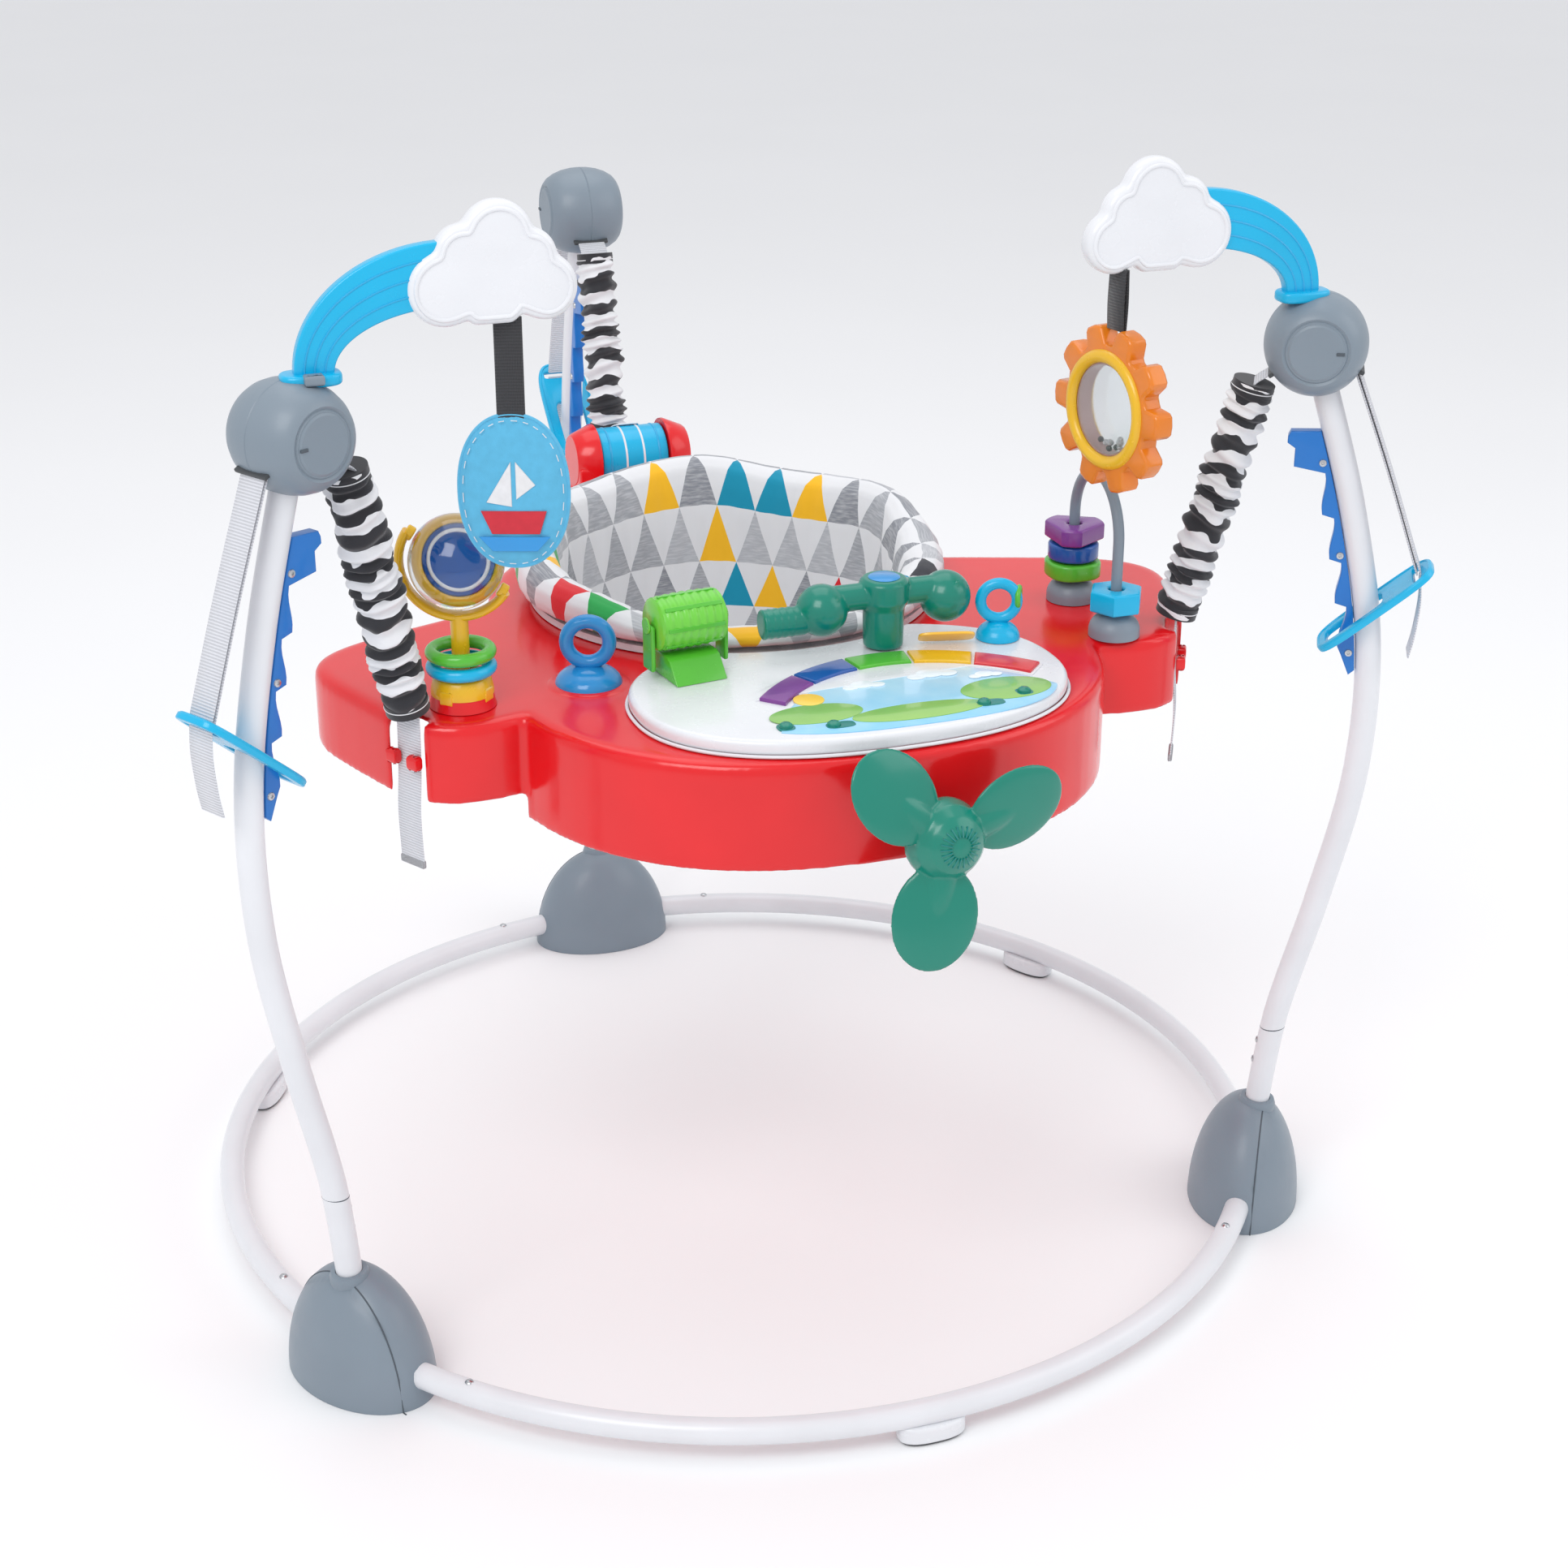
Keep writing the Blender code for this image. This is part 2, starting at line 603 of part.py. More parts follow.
def tray_shell():
    """Body, collar and three ears as one moulding, hollow and open underneath."""
    shell = prism("tray_shell", body_outline(), TRAY_TOP, TRAY_DEPTH)
    hollow = prism("tray_hollow", body_outline(TRAY_WALL), TRAY_TOP - TRAY_WALL, TRAY_DEPTH + 0.010)
    depth = EAR_DEPTH + 0.008
    join(shell, cylinder("tray_collar", COLLAR_RADIUS, depth, "red_plastic",
                         at_seat(-0.0004 - depth / 2), sides=36))
    join(hollow, cylinder("collar_hollow", COLLAR_RADIUS - TRAY_WALL, depth, "red_plastic",
                          at_seat(-TRAY_WALL - 0.0006 - depth / 2), sides=36))
    for side in EARS:
        join(shell, prism(f"tray_ear_{side}", ear_outline(side), TRAY_TOP - 0.0002, EAR_DEPTH))
        join(hollow, prism(f"ear_hollow_{side}", ear_outline(side, TRAY_WALL),
                           TRAY_TOP - TRAY_WALL - 0.0002, EAR_DEPTH + 0.002))
    cut(hollow, cylinder("seat_wall", SEAT_WALL, 0.4, "red_plastic", at_seat(), sides=36))
    cut(shell, hollow)
    cut(shell, cylinder("seat_opening", SEAT_OPENING, 0.4, "red_plastic", at_seat(), sides=36))
    for side, (x, y) in STRAP_SEATS.items():
        azimuth = math.degrees(math.atan2(y, x))
        outward = STRAP_NOTCH[0] / 2 - 0.006
        cut(shell, box(f"strap_notch_{side}", STRAP_NOTCH, "red_plastic",
                       frame_at(at_tray(x, y), azimuth) @ Matrix.Translation((outward, 0, 0))))
    middle = (PROPELLER_BOSS[0] + PROPELLER_BOSS[1]) / 2
    join(shell, cylinder("propeller_boss", 0.014, PROPELLER_BOSS[0] - PROPELLER_BOSS[1], "red_plastic",
                         propeller_matrix() @ Matrix.Translation((0, 0, middle)), sides=20))
    cut(shell, cylinder("propeller_hole", 0.0056, 0.100, "red_plastic", propeller_matrix(), sides=16))


PROPELLER_CENTRE = (0.022, -0.380, 0.449)
PROPELLER_TILT = 8.0
PROPELLER_BOSS = (-0.0135, -0.0375)


def propeller_matrix():
    """Local +Z is the axle, pointing out of the front of the tray and slightly up."""
    tilt = Matrix.Rotation(math.radians(90.0 - PROPELLER_TILT), 4, "X")
    return Matrix.Translation(PROPELLER_CENTRE) @ Matrix.Rotation(math.radians(5.0), 4, "Z") @ tilt


def propeller():
    matrix = propeller_matrix()
    profile = [(0.0, 0.020), (0.012, 0.018), (0.020, 0.012), (0.0275, 0.002), (0.029, -0.012),
               (0.0, -0.012)]
    hub_piece = turned("propeller", profile, "teal_plastic", matrix, steps=20)
    for n in range(3):
        turn = Matrix.Rotation(math.radians(120.0 * n + 16.0), 4, "Z")
        pitch = Matrix.Rotation(math.radians(14.0), 4, "X")
        blade = ball(f"propeller_blade_{n}", (0.039, 0.031, 0.006), "teal_plastic",
                     matrix @ turn @ Matrix.Translation((0.054, 0, 0.0)) @ pitch, 16, 6)
        join(hub_piece, blade)
    join(hub_piece, cylinder("propeller_axle", 0.0045, 0.030, "teal_plastic",
                             matrix @ Matrix.Translation((0, 0, -0.022)), sides=16))


# ---------------------------------------------------------------- console

CONSOLE_TOP = TRAY_TOP + 0.0004 + CONSOLE_HEIGHT


def key_outline(index, shrink=0.0):
    width = KEY_SPAN / len(KEY_NAMES)
    start = 90.0 + KEY_SPAN / 2 - index * width - 0.25 - math.degrees(shrink / KEY_RADII[1])
    end = 90.0 + KEY_SPAN / 2 - (index + 1) * width + 0.25 + math.degrees(shrink / KEY_RADII[1])
    inner, outer = KEY_RADII[0] + shrink, KEY_RADII[1] - shrink
    steps = 4
    points = []
    for radius, first, last in ((outer, start, end), (inner, end, start)):
        for i in range(steps + 1):
            angle = math.radians(first + (last - first) * i / steps)
            points.append((KEY_CENTRE[0] + radius * math.cos(angle) * 0.85,
                           KEY_CENTRE[1] + radius * math.sin(angle)))
    return points


CONTROLS = {"button_left": (-0.068, -0.304), "slider_left": (-0.031, -0.312),
            "slider_right": (0.0825, -0.308), "button_right": (0.113, -0.297)}
CONTROL_TRAVEL = 0.003
SLIDER_TRAVEL = 0.010
WELL_FLOOR = TRAY_TOP + 0.003


def well(name, outline):
    """A pocket in the console that holds a key or control clear of its floor."""
    depth = 0.020
    return as_mesh(plate(name, [outline], depth, "white_plastic",
                         Matrix.Translation((0, 0, WELL_FLOOR + depth / 2))))


def console():
    body = prism("console_housing", superellipse(CONSOLE_CENTRE, CONSOLE_HALF, 2.3, 36),
                 CONSOLE_TOP, CONSOLE_HEIGHT, "white_plastic")
    cut(body, cylinder("console_seat_relief", CONSOLE_RELIEF, 0.2, "white_plastic", at_seat(), sides=48))
    for index, name in enumerate(KEY_NAMES):
        cut(body, well(f"key_well_{name}", key_outline(index)))
    for name, centre in CONTROLS.items():
        half = (0.0068, 0.0058) if name.startswith("button") else (0.0120, 0.0058)
        cut(body, well(f"{name}_well", superellipse(centre, half, 3, 16)))


def keys_and_controls():
    raise_by = 0.0030
    for index, name in enumerate(KEY_NAMES):
        height = CONSOLE_TOP + raise_by - WELL_FLOOR - CONTROL_TRAVEL - 0.001
        plate(f"light_key_{name}", [key_outline(index, 0.0006)], height, f"{name}_plastic",
              Matrix.Translation((0, 0, CONSOLE_TOP + raise_by - height / 2)))
    for name, (x, y) in CONTROLS.items():
        height = 0.0075
        z = CONSOLE_TOP + 0.0035 - height / 2
        shift = 0.0
        if name.startswith("slider"):
            shift = -SLIDER_TRAVEL / 2
        cylinder(f"console_{name}", 0.0052 if shift == 0.0 else 0.0048, height, "teal_plastic",
                 Matrix.Translation((x + shift, y, z)), sides=18)


# ---------------------------------------------------------------- tray toys

SPINNER_BASE = (-0.258, -0.156)
SPINNER_CENTRE = 0.106
SPINNER_RADIUS = 0.034
SPINNER_TILT = 34.0
SPINNER_FACING = -19.0


def spinner():
    x, y = SPINNER_BASE
    base = at_tray(x, y, 0.0004)
    profile = [(0.0, 0.050), (0.0065, 0.050), (0.0065, 0.022), (0.0205, 0.022), (0.0225, 0.012),
               (0.0225, 0.0), (0.0, 0.0)]
    stand = turned("spinner_stand", profile, "yellow_plastic", Matrix.Translation(base), steps=20)
    axis = spinner_matrix()
    fork_radius = SPINNER_RADIUS + 0.0058
    half_turn = [axis @ Vector((fork_radius * math.cos(a), 0, fork_radius * math.sin(a)))
                 for a in [math.pi + math.pi * i / 12 for i in range(13)]]
    fork = tube("spinner_fork", half_turn, 0.0042, "yellow_plastic", resolution=1)
    join(stand, as_mesh(fork))
    join(stand, cylinder("spinner_neck", 0.0055, 0.022, "yellow_plastic",
                         Matrix.Translation(base + Vector((0, 0, 0.056))), sides=12))
    ball("spinner_ball", (SPINNER_RADIUS,) * 3, "clear_plastic", axis, 16, 10)
    torus("stacking_ring_green", 0.0205, 0.0048, "green_plastic",
          Matrix.Translation(base + Vector((0, 0, 0.0395))))
    torus("stacking_ring_cyan", 0.0205, 0.0048, "cyan_plastic",
          Matrix.Translation(base + Vector((0, 0, 0.0282))))


def spinner_matrix():
    """Local +X runs along the tilted axle between the fork's tips."""
    x, y = SPINNER_BASE
    return frame_at(at_tray(x, y, SPINNER_CENTRE), SPINNER_FACING, SPINNER_TILT)


def loop_toy(name, base, dome_radius, dome_height, loop_radius, loop_wire, colour, facing):
    x, y = base
    foot_point = at_tray(x, y, 0.0005)
    if name == "rattle_loop":
        foot_point = Vector((x, y, CONSOLE_TOP + 0.0005))
    profile = [(0.0, dome_height), (dome_radius * 0.45, dome_height * 0.85),
               (dome_radius * 0.85, dome_height * 0.35), (dome_radius, 0.0), (0.0, 0.0)]
    dome = turned(name, profile, colour, Matrix.Translation(foot_point), steps=20)
    middle = foot_point + Vector((0, 0, dome_height + loop_radius + loop_wire * 0.4))
    ring = torus(f"{name}_ring", loop_radius, loop_wire, colour, standing(middle, facing), 18, 8)
    join(dome, ring)


BARREL_BASE = (-0.099, -0.178)
BARREL_AXIS = 8.0
BARREL_RADIUS = 0.0205
BARREL_HALF = 0.026
BARREL_HEIGHT = 0.0395


def barrel_toy():
    x, y = BARREL_BASE
    matrix = frame_at(Vector((x, y, CONSOLE_TOP + 0.0004)), BARREL_AXIS)
    outline = [(-0.027, 0.0), (0.020, 0.0), (0.012, 0.017), (-0.012, 0.017)]
    stand = as_mesh(plate("barrel_stand", [outline], 0.040, "green_plastic",
                          matrix @ Matrix.Rotation(math.radians(90), 4, "Z")
                          @ Matrix.Rotation(math.radians(90), 4, "X")))
    axis = matrix @ Matrix.Translation((0, 0.0, BARREL_HEIGHT)) @ Matrix.Rotation(math.radians(90), 4, "Y")
    for end in (-1, 1):
        bracket = box(f"barrel_bracket_{end}", (0.034, 0.016, 0.003), "green_plastic",
                      axis @ Matrix.Translation((0.0165, 0, end * (BARREL_HALF + 0.0028))))
        join(stand, bracket)
    join(stand, box("barrel_bridge", (0.004, 0.016, 2 * BARREL_HALF + 0.0086), "green_plastic",
                    axis @ Matrix.Translation((0.0305, 0, 0))))
    profile = [(0.0, BARREL_HALF), (0.017, BARREL_HALF), (BARREL_RADIUS - 0.001, 0.018),
               (BARREL_RADIUS, 0.0), (BARREL_RADIUS - 0.001, -0.018), (0.017, -BARREL_HALF),
               (0.0, -BARREL_HALF)]
    turned("barrel_roller", profile, "green_plastic", axis, steps=20)


YOKE_BASE = (0.054, -0.176)
YOKE_HALF_SPAN = 0.0485
YOKE_BALL = 0.0195


def steering_yoke():
    x, y = YOKE_BASE
    base = Vector((x, y, CONSOLE_TOP + 0.0006))
    profile = [(0.0, 0.054), (0.0165, 0.054), (0.0185, 0.050), (0.0185, 0.036), (0.0155, 0.030),
               (0.0150, 0.0), (0.0, 0.0)]
    column = turned("steering_yoke", profile, "teal_plastic", Matrix.Translation(base), steps=16)
    for end, name in ((-1, "left"), (1, "right")):
        middle = base + Vector((end * YOKE_HALF_SPAN, 0, 0.033))
        join(column, ball(f"yoke_ball_{name}", (YOKE_BALL,) * 3, "teal_plastic",
                          Matrix.Translation(middle), 12, 8))
        arm_turn = Matrix.Rotation(math.radians(90), 4, "Y")
        join(column, cylinder(f"yoke_arm_{name}", 0.010, YOKE_HALF_SPAN, "teal_plastic",
                              Matrix.Translation(base + Vector((end * YOKE_HALF_SPAN / 2, 0, 0.040)))
                              @ arm_turn, sides=12))
    grip_middle = base + Vector((-YOKE_HALF_SPAN - 0.028, 0, 0.027))
    join(column, cylinder("yoke_grip", 0.0115, 0.036, "teal_plastic",
                          Matrix.Translation(grip_middle) @ Matrix.Rotation(math.radians(90), 4, "Y"),
                          sides=12))


ARCH_FEET = [(0.246, -0.095), (0.241, -0.181)]
ARCH_TOP = 0.115
ARCH_WIRE = 0.0042


def bead_arch():
    half = (ARCH_FEET[0][1] - ARCH_FEET[1][1]) / 2
    middle_y = (ARCH_FEET[0][1] + ARCH_FEET[1][1]) / 2
    middle_x = (ARCH_FEET[0][0] + ARCH_FEET[1][0]) / 2
    half_x = (ARCH_FEET[0][0] - ARCH_FEET[1][0]) / 2
    shoulder = ARCH_TOP - half
    points = [at_tray(*ARCH_FEET[0], 0.006)]
    for i in range(11):
        angle = math.pi * i / 10
        points.append(at_tray(middle_x + half_x * math.cos(angle), middle_y + half * math.cos(angle),
                              shoulder + half * math.sin(angle)))
    points.append(at_tray(*ARCH_FEET[1], 0.006))
    arch = as_mesh(tube("bead_arch", points, ARCH_WIRE, "grey_plastic", resolution=2))
    for n, (fx, fy) in enumerate(ARCH_FEET):
        profile = [(0.0, 0.019), (0.010, 0.018), (0.0165, 0.012), (0.0195, 0.004),
                   (0.0195, 0.0), (0.0, 0.0)]
        join(arch, turned(f"arch_dome_{n}", profile, "grey_plastic",
                          Matrix.Translation(at_tray(fx, fy, 0.0004)), steps=16))


def regular(sides, radius, turn=0.0):
    return [(radius * math.cos(math.radians(turn) + 2 * math.pi * i / sides),
             radius * math.sin(math.radians(turn) + 2 * math.pi * i / sides)) for i in range(sides)]


def bead(name, outline, height, thickness, post, colour):
    hole = regular(12, ARCH_WIRE + 0.0016)
    plate(name, [outline, hole], thickness, colour,
          Matrix.Translation(at_tray(post[0], post[1], height)))


def beads():
    rounded_triangle = [p for k in range(3) for p in
                        ((0.024 * math.cos(math.radians(120 * k + d)),
                          0.024 * math.sin(math.radians(120 * k + d))) for d in (-14, 0, 14))]
    bead("bead_green", regular(6, 0.0215, 15), 0.0265, 0.0135, ARCH_FEET[0], "green_plastic")
    bead("bead_blue", regular(20, 0.0200), 0.0410, 0.0135, ARCH_FEET[0], "blue_plastic")
    bead("bead_purple", rounded_triangle, 0.0560, 0.0145, ARCH_FEET[0], "purple_plastic")
    bead("bead_cyan", regular(6, 0.0215, 0), 0.0290, 0.0170, ARCH_FEET[1], "cyan_plastic")


DRUM_CENTRE = (0.0, 0.298)
DRUM_HEIGHT = 0.032
DRUM_RADIUS = 0.026
DRUM_HALF = 0.030
DRUM_END_WIDTH = 0.022


def roller_drum():
    x, y = DRUM_CENTRE
    base = at_tray(x, y, 0.0004)
    axis = Matrix.Translation(base + Vector((0, 0, DRUM_HEIGHT))) @ Matrix.Rotation(math.radians(90), 4, "Y")
    housing = box("drum_housing", (2 * (DRUM_HALF + DRUM_END_WIDTH), 0.066, 0.005), "red_plastic",
                  Matrix.Translation(base + Vector((0, 0, 0.0025))))
    for end in (-1, 1):
        near = end * (DRUM_HALF + 0.001)
        far = end * (DRUM_HALF + DRUM_END_WIDTH)
        top, bottom = max(near, far), min(near, far)
        wide, narrow = 0.0305, 0.0230
        profile = [(0.0, top), (narrow if end > 0 else wide, top),
                   (wide if end > 0 else narrow, bottom), (0.0, bottom)]
        join(housing, turned(f"drum_end_{end}", profile, "red_plastic", axis, steps=24))
        join(housing, box(f"drum_foot_{end}", (DRUM_END_WIDTH - 0.002, 0.056, DRUM_HEIGHT), "red_plastic",
                          Matrix.Translation(base + Vector(((near + far) / 2, 0, DRUM_HEIGHT / 2)))))
    drum = [(0.0, DRUM_HALF), (DRUM_RADIUS, DRUM_HALF), (DRUM_RADIUS, -DRUM_HALF), (0.0, -DRUM_HALF)]
    turned("roller_drum", drum, "cyan_plastic", axis, steps=24)


# ---------------------------------------------------------------- seat

SEAT_RING_OUTER = 0.160
SEAT_RING_INNER = 0.140
SEAT_RING_SKIRT = 0.1495
SEAT_BACK_RISE = 0.042
SEAT_FRONT_TUCK = 0.04
SEAT_THICKNESS = 0.003
SEAT_SECTION = [(0.160, 0.0100, 0.0), (0.1690, 0.0130, 0.3), (0.166, 0.0175, 0.9), (0.155, 0.0190, 1.0),
                (0.143, 0.0170, 1.0), (0.136, 0.0080, 0.6), (0.1325, -0.020, 0.2), (0.124, -0.080, 0.0),
                (0.106, -0.150, 0.0), (0.072, -0.200, 0.0), (0.026, -0.215, 0.0)]
LEG_HOLE_RADIUS = 0.042
LEG_HOLE_OFFSET = 0.058


def seat_ring():
    profile = [(SEAT_RING_INNER, 0.006), (SEAT_RING_OUTER, 0.006), (SEAT_RING_OUTER, 0.0006),
               (SEAT_RING_SKIRT, 0.0006), (SEAT_RING_SKIRT, -0.020), (SEAT_RING_INNER, -0.020),
               (SEAT_RING_INNER, 0.006)]
    turned("seat_ring", profile, "seat_ring_plastic", at_seat(), steps=32)


def seat_fabric():
    """A hanging bowl whose rolled rim stands highest behind the child."""
    bm = bmesh.new()
    sides = 22
    rings = []
    for reach, height, raised in SEAT_SECTION:
        ring = []
        for i in range(sides):
            angle = 2 * math.pi * i / sides
            back = 0.5 + 0.5 * math.sin(angle)
            front = max(0.0, -math.sin(angle)) ** 1.5
            spread = reach * (1.0 - SEAT_FRONT_TUCK * front)
            ring.append(bm.verts.new((spread * math.cos(angle), spread * math.sin(angle),
                                      height + raised * back * SEAT_BACK_RISE)))
        rings.append(ring)
    for upper, lower in zip(rings, rings[1:]):
        for i in range(sides):
            j = (i + 1) % sides
            bm.faces.new((upper[i], upper[j], lower[j], lower[i]))
    bm.faces.new(rings[-1])
    bmesh.ops.recalc_face_normals(bm, faces=bm.faces)
    seat = finish_mesh("seat_fabric", bm, "seat_fabric", at_seat())
    thickness = seat.modifiers.new("thickness", "SOLIDIFY")
    thickness.thickness = SEAT_THICKNESS
    thickness.offset = 0.0
    lean = Matrix.Rotation(math.radians(24), 4, "X")
    for side, x in (("left", -LEG_HOLE_OFFSET), ("right", LEG_HOLE_OFFSET)):
        matrix = at_seat(-0.190) @ Matrix.Translation((x, -0.018, 0)) @ lean
        cut(seat, cylinder(f"leg_hole_{side}", LEG_HOLE_RADIUS, 0.150, "seat_fabric", matrix, sides=20))


# ---------------------------------------------------------------- assembly

for first, second, tube_name in ((210.0, 330.0, "front"), (330.0, 450.0, "right"), (90.0, 210.0, "left")):
    base_tube(f"base_tube_{tube_name}", first, second)
for leg_side, leg_azimuth in LEG_AZIMUTHS.items():
    foot(leg_side, leg_azimuth)
    leg(leg_side, leg_azimuth)
    hub(leg_side, leg_azimuth)
    rack(leg_side, leg_azimuth)
    adjuster_loop(leg_side, leg_azimuth)
    sleeve(leg_side, leg_azimuth)
    spring(leg_side, leg_azimuth)
for arm_side in ("left", "right"):
    arm(arm_side, LEG_AZIMUTHS[arm_side])
    cloud(arm_side, LEG_AZIMUTHS[arm_side])
fabric_toy()
sun_rattle()
tray_shell()
propeller()
console()
keys_and_controls()
spinner()
loop_toy("drop_loop", (-0.163, -0.147), 0.0245, 0.014, 0.0155, 0.0052, "blue_plastic", -19.0)
loop_toy("rattle_loop", (0.1415, -0.1870), 0.0165, 0.013, 0.0135, 0.0042, "cyan_plastic", -19.0)
barrel_toy()
steering_yoke()
bead_arch()
beads()
roller_drum()
seat_ring()
seat_fabric()

# The origin moves to the floor under the middle of the whole jumper.
for piece in list(PARTS.objects) + list(CUTTERS.objects):
    piece.matrix_world = Matrix.Translation((0, RING_TO_ORIGIN, 0)) @ piece.matrix_world
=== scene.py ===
"""The activity jumper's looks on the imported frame: cloth, moulded plastics, painted tubes and printed panels.

Positions are in metres about the middle of the floor ring, moved to the row's frame by at().
"""

import math
import random

import bmesh
import bpy
from mathutils import Matrix, Vector, noise


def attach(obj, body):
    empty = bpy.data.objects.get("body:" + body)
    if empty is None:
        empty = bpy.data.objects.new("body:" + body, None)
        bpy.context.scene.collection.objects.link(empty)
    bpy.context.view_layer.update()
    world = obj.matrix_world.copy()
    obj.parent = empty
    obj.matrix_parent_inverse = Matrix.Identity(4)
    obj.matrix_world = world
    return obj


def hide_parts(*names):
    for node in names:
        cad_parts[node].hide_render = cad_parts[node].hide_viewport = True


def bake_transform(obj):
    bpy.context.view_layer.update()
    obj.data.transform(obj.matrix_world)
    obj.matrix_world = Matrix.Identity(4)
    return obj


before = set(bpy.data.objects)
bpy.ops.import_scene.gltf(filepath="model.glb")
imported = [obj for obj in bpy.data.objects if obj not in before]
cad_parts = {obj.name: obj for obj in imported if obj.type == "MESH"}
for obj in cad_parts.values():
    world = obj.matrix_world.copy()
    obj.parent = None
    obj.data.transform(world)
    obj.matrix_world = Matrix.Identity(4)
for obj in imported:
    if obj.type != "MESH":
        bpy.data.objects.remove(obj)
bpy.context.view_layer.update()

RING_Y = -0.0469
RING_RADIUS = 0.430
RING_HEIGHT = 0.022
TUBE = 0.0098
HUB_REACH = 0.4326
HUB_HEIGHT = 0.725
TRAY_TOP = 0.502
CONSOLE_TOP = TRAY_TOP + 0.0124
SEAT = (0.0, 0.015)
SEAT_UV_RADIUS = 0.143
UP = Vector((0, 0, 1))
LEGS = {"left": 210.0, "right": 330.0, "rear": 90.0}
LEG_STATIONS = [(0.036, 0.431), (0.170, 0.445), (0.285, 0.471), (0.390, 0.490), (0.495, 0.490),
                (0.602, 0.469), (0.707, 0.437)]
random.seed(7)


# ---------------------------------------------------------------- shaders

def add(tree, kind, inputs=(), **settings):
    """A shader node with its settings; an input's value is a constant or another node's output."""
    made = tree.nodes.new(kind)
    for key, value in settings.items():
        setattr(made, key, value)
    for key, value in dict(inputs).items():
        if isinstance(value, bpy.types.NodeSocket):
            tree.links.new(value, made.inputs[key])
        else:
            made.inputs[key].default_value = value
    return made


def calc(tree, operation, first, second=0.0):
    return add(tree, "ShaderNodeMath", {0: first, 1: second}, operation=operation).outputs[0]


def mix(tree, factor, first, second):
    made = add(tree, "ShaderNodeMix", data_type="RGBA")
    for index, value in ((0, factor), (6, first), (7, second)):
        if isinstance(value, bpy.types.NodeSocket):
            tree.links.new(value, made.inputs[index])
        else:
            made.inputs[index].default_value = value
    return made.outputs[2]


def rgb(colour):
    return (*colour, 1.0)


def start(name):
    made = bpy.data.materials.new(name)
    made.use_nodes = True
    tree = made.node_tree
    return made, tree, tree.nodes["Principled BSDF"], tree.nodes.new("ShaderNodeTexCoord")


def plastic(name, colour, roughness=0.3, grain=0.06, coat=0.25, see_through=0.0, glow=0.0, metallic=0.0):
    """Moulded plastic or paint: slow colour drift, uneven gloss, an orange-peel skin and fine scuffs."""
    made, tree, shader, coord = start(name)
    drift = add(tree, "ShaderNodeTexNoise",
                {"Vector": coord.outputs["Object"], "Scale": 14.0, "Detail": 3.0})
    darker = tuple(c * 0.90 for c in colour)
    lighter = tuple(min(1.0, c * 1.05 + 0.004) for c in colour)
    tree.links.new(mix(tree, drift.outputs["Fac"], rgb(darker), rgb(lighter)), shader.inputs["Base Color"])
    scuff = add(tree, "ShaderNodeTexNoise",
                {"Vector": coord.outputs["Object"], "Scale": 90.0, "Detail": 5.0})
    gloss = calc(tree, "MULTIPLY_ADD", scuff.outputs["Fac"], 0.16)
    gloss.node.inputs[2].default_value = roughness - 0.08
    tree.links.new(gloss, shader.inputs["Roughness"])
    peel = add(tree, "ShaderNodeTexNoise",
               {"Vector": coord.outputs["Object"], "Scale": 420.0, "Detail": 2.0})
    bump = add(tree, "ShaderNodeBump",
               {"Strength": grain, "Distance": 0.0006, "Height": peel.outputs["Fac"]})
    tree.links.new(bump.outputs["Normal"], shader.inputs["Normal"])
    shader.inputs["Coat Weight"].default_value = coat
    shader.inputs["Coat Roughness"].default_value = 0.12
    shader.inputs["Metallic"].default_value = metallic
    shader.inputs["Transmission Weight"].default_value = see_through
    if glow:
        shader.inputs["Emission Color"].default_value = rgb(colour)
        shader.inputs["Emission Strength"].default_value = glow
    return made


def cloth_base(name):
    """Cloth shader: sheen, high roughness and a woven bump from the UV map, which is in metres."""
    made, tree, shader, coord = start(name)
    split = add(tree, "ShaderNodeSeparateXYZ", {"Vector": coord.outputs["UV"]})
    shader.inputs["Roughness"].default_value = 0.86
    shader.inputs["Sheen Weight"].default_value = 0.35
    shader.inputs["Sheen Roughness"].default_value = 0.45
    return made, tree, shader, coord, split.outputs[0], split.outputs[1]


def threads(tree, u, v, pitch):
    """Over-and-under height of a plain weave with that thread pitch."""
    rate = 2 * math.pi / pitch
    across = calc(tree, "SINE", calc(tree, "MULTIPLY", u, rate))
    along = calc(tree, "SINE", calc(tree, "MULTIPLY", v, rate))
    return calc(tree, "MULTIPLY_ADD", calc(tree, "MULTIPLY", across, along), 0.5)


def webbing(name, colour, pitch=0.0021):
    """Ribbed strap webbing whose colour is darker in the valleys between the ribs, which is painted shade."""
    made, tree, shader, _, u, v = cloth_base(name)
    rib = calc(tree, "SINE", calc(tree, "MULTIPLY", v, 2 * math.pi / pitch))
    fine = calc(tree, "SINE", calc(tree, "MULTIPLY", u, 2 * math.pi / 0.0011))
    height = calc(tree, "ADD", calc(tree, "MULTIPLY", rib, 0.5), calc(tree, "MULTIPLY", fine, 0.25))
    bump = add(tree, "ShaderNodeBump", {"Strength": 0.8, "Distance": 0.0005, "Height": height})
    tree.links.new(bump.outputs["Normal"], shader.inputs["Normal"])
    # painted shade: the colour darkens with the rib bump, darkest in the valleys between ribs
    tone = calc(tree, "MULTIPLY_ADD", rib, 0.5)
    tone.node.inputs[2].default_value = 0.5
    darker = tuple(c * 0.72 for c in colour)
    tree.links.new(mix(tree, tone, rgb(darker), rgb(colour)), shader.inputs["Base Color"])
    return made


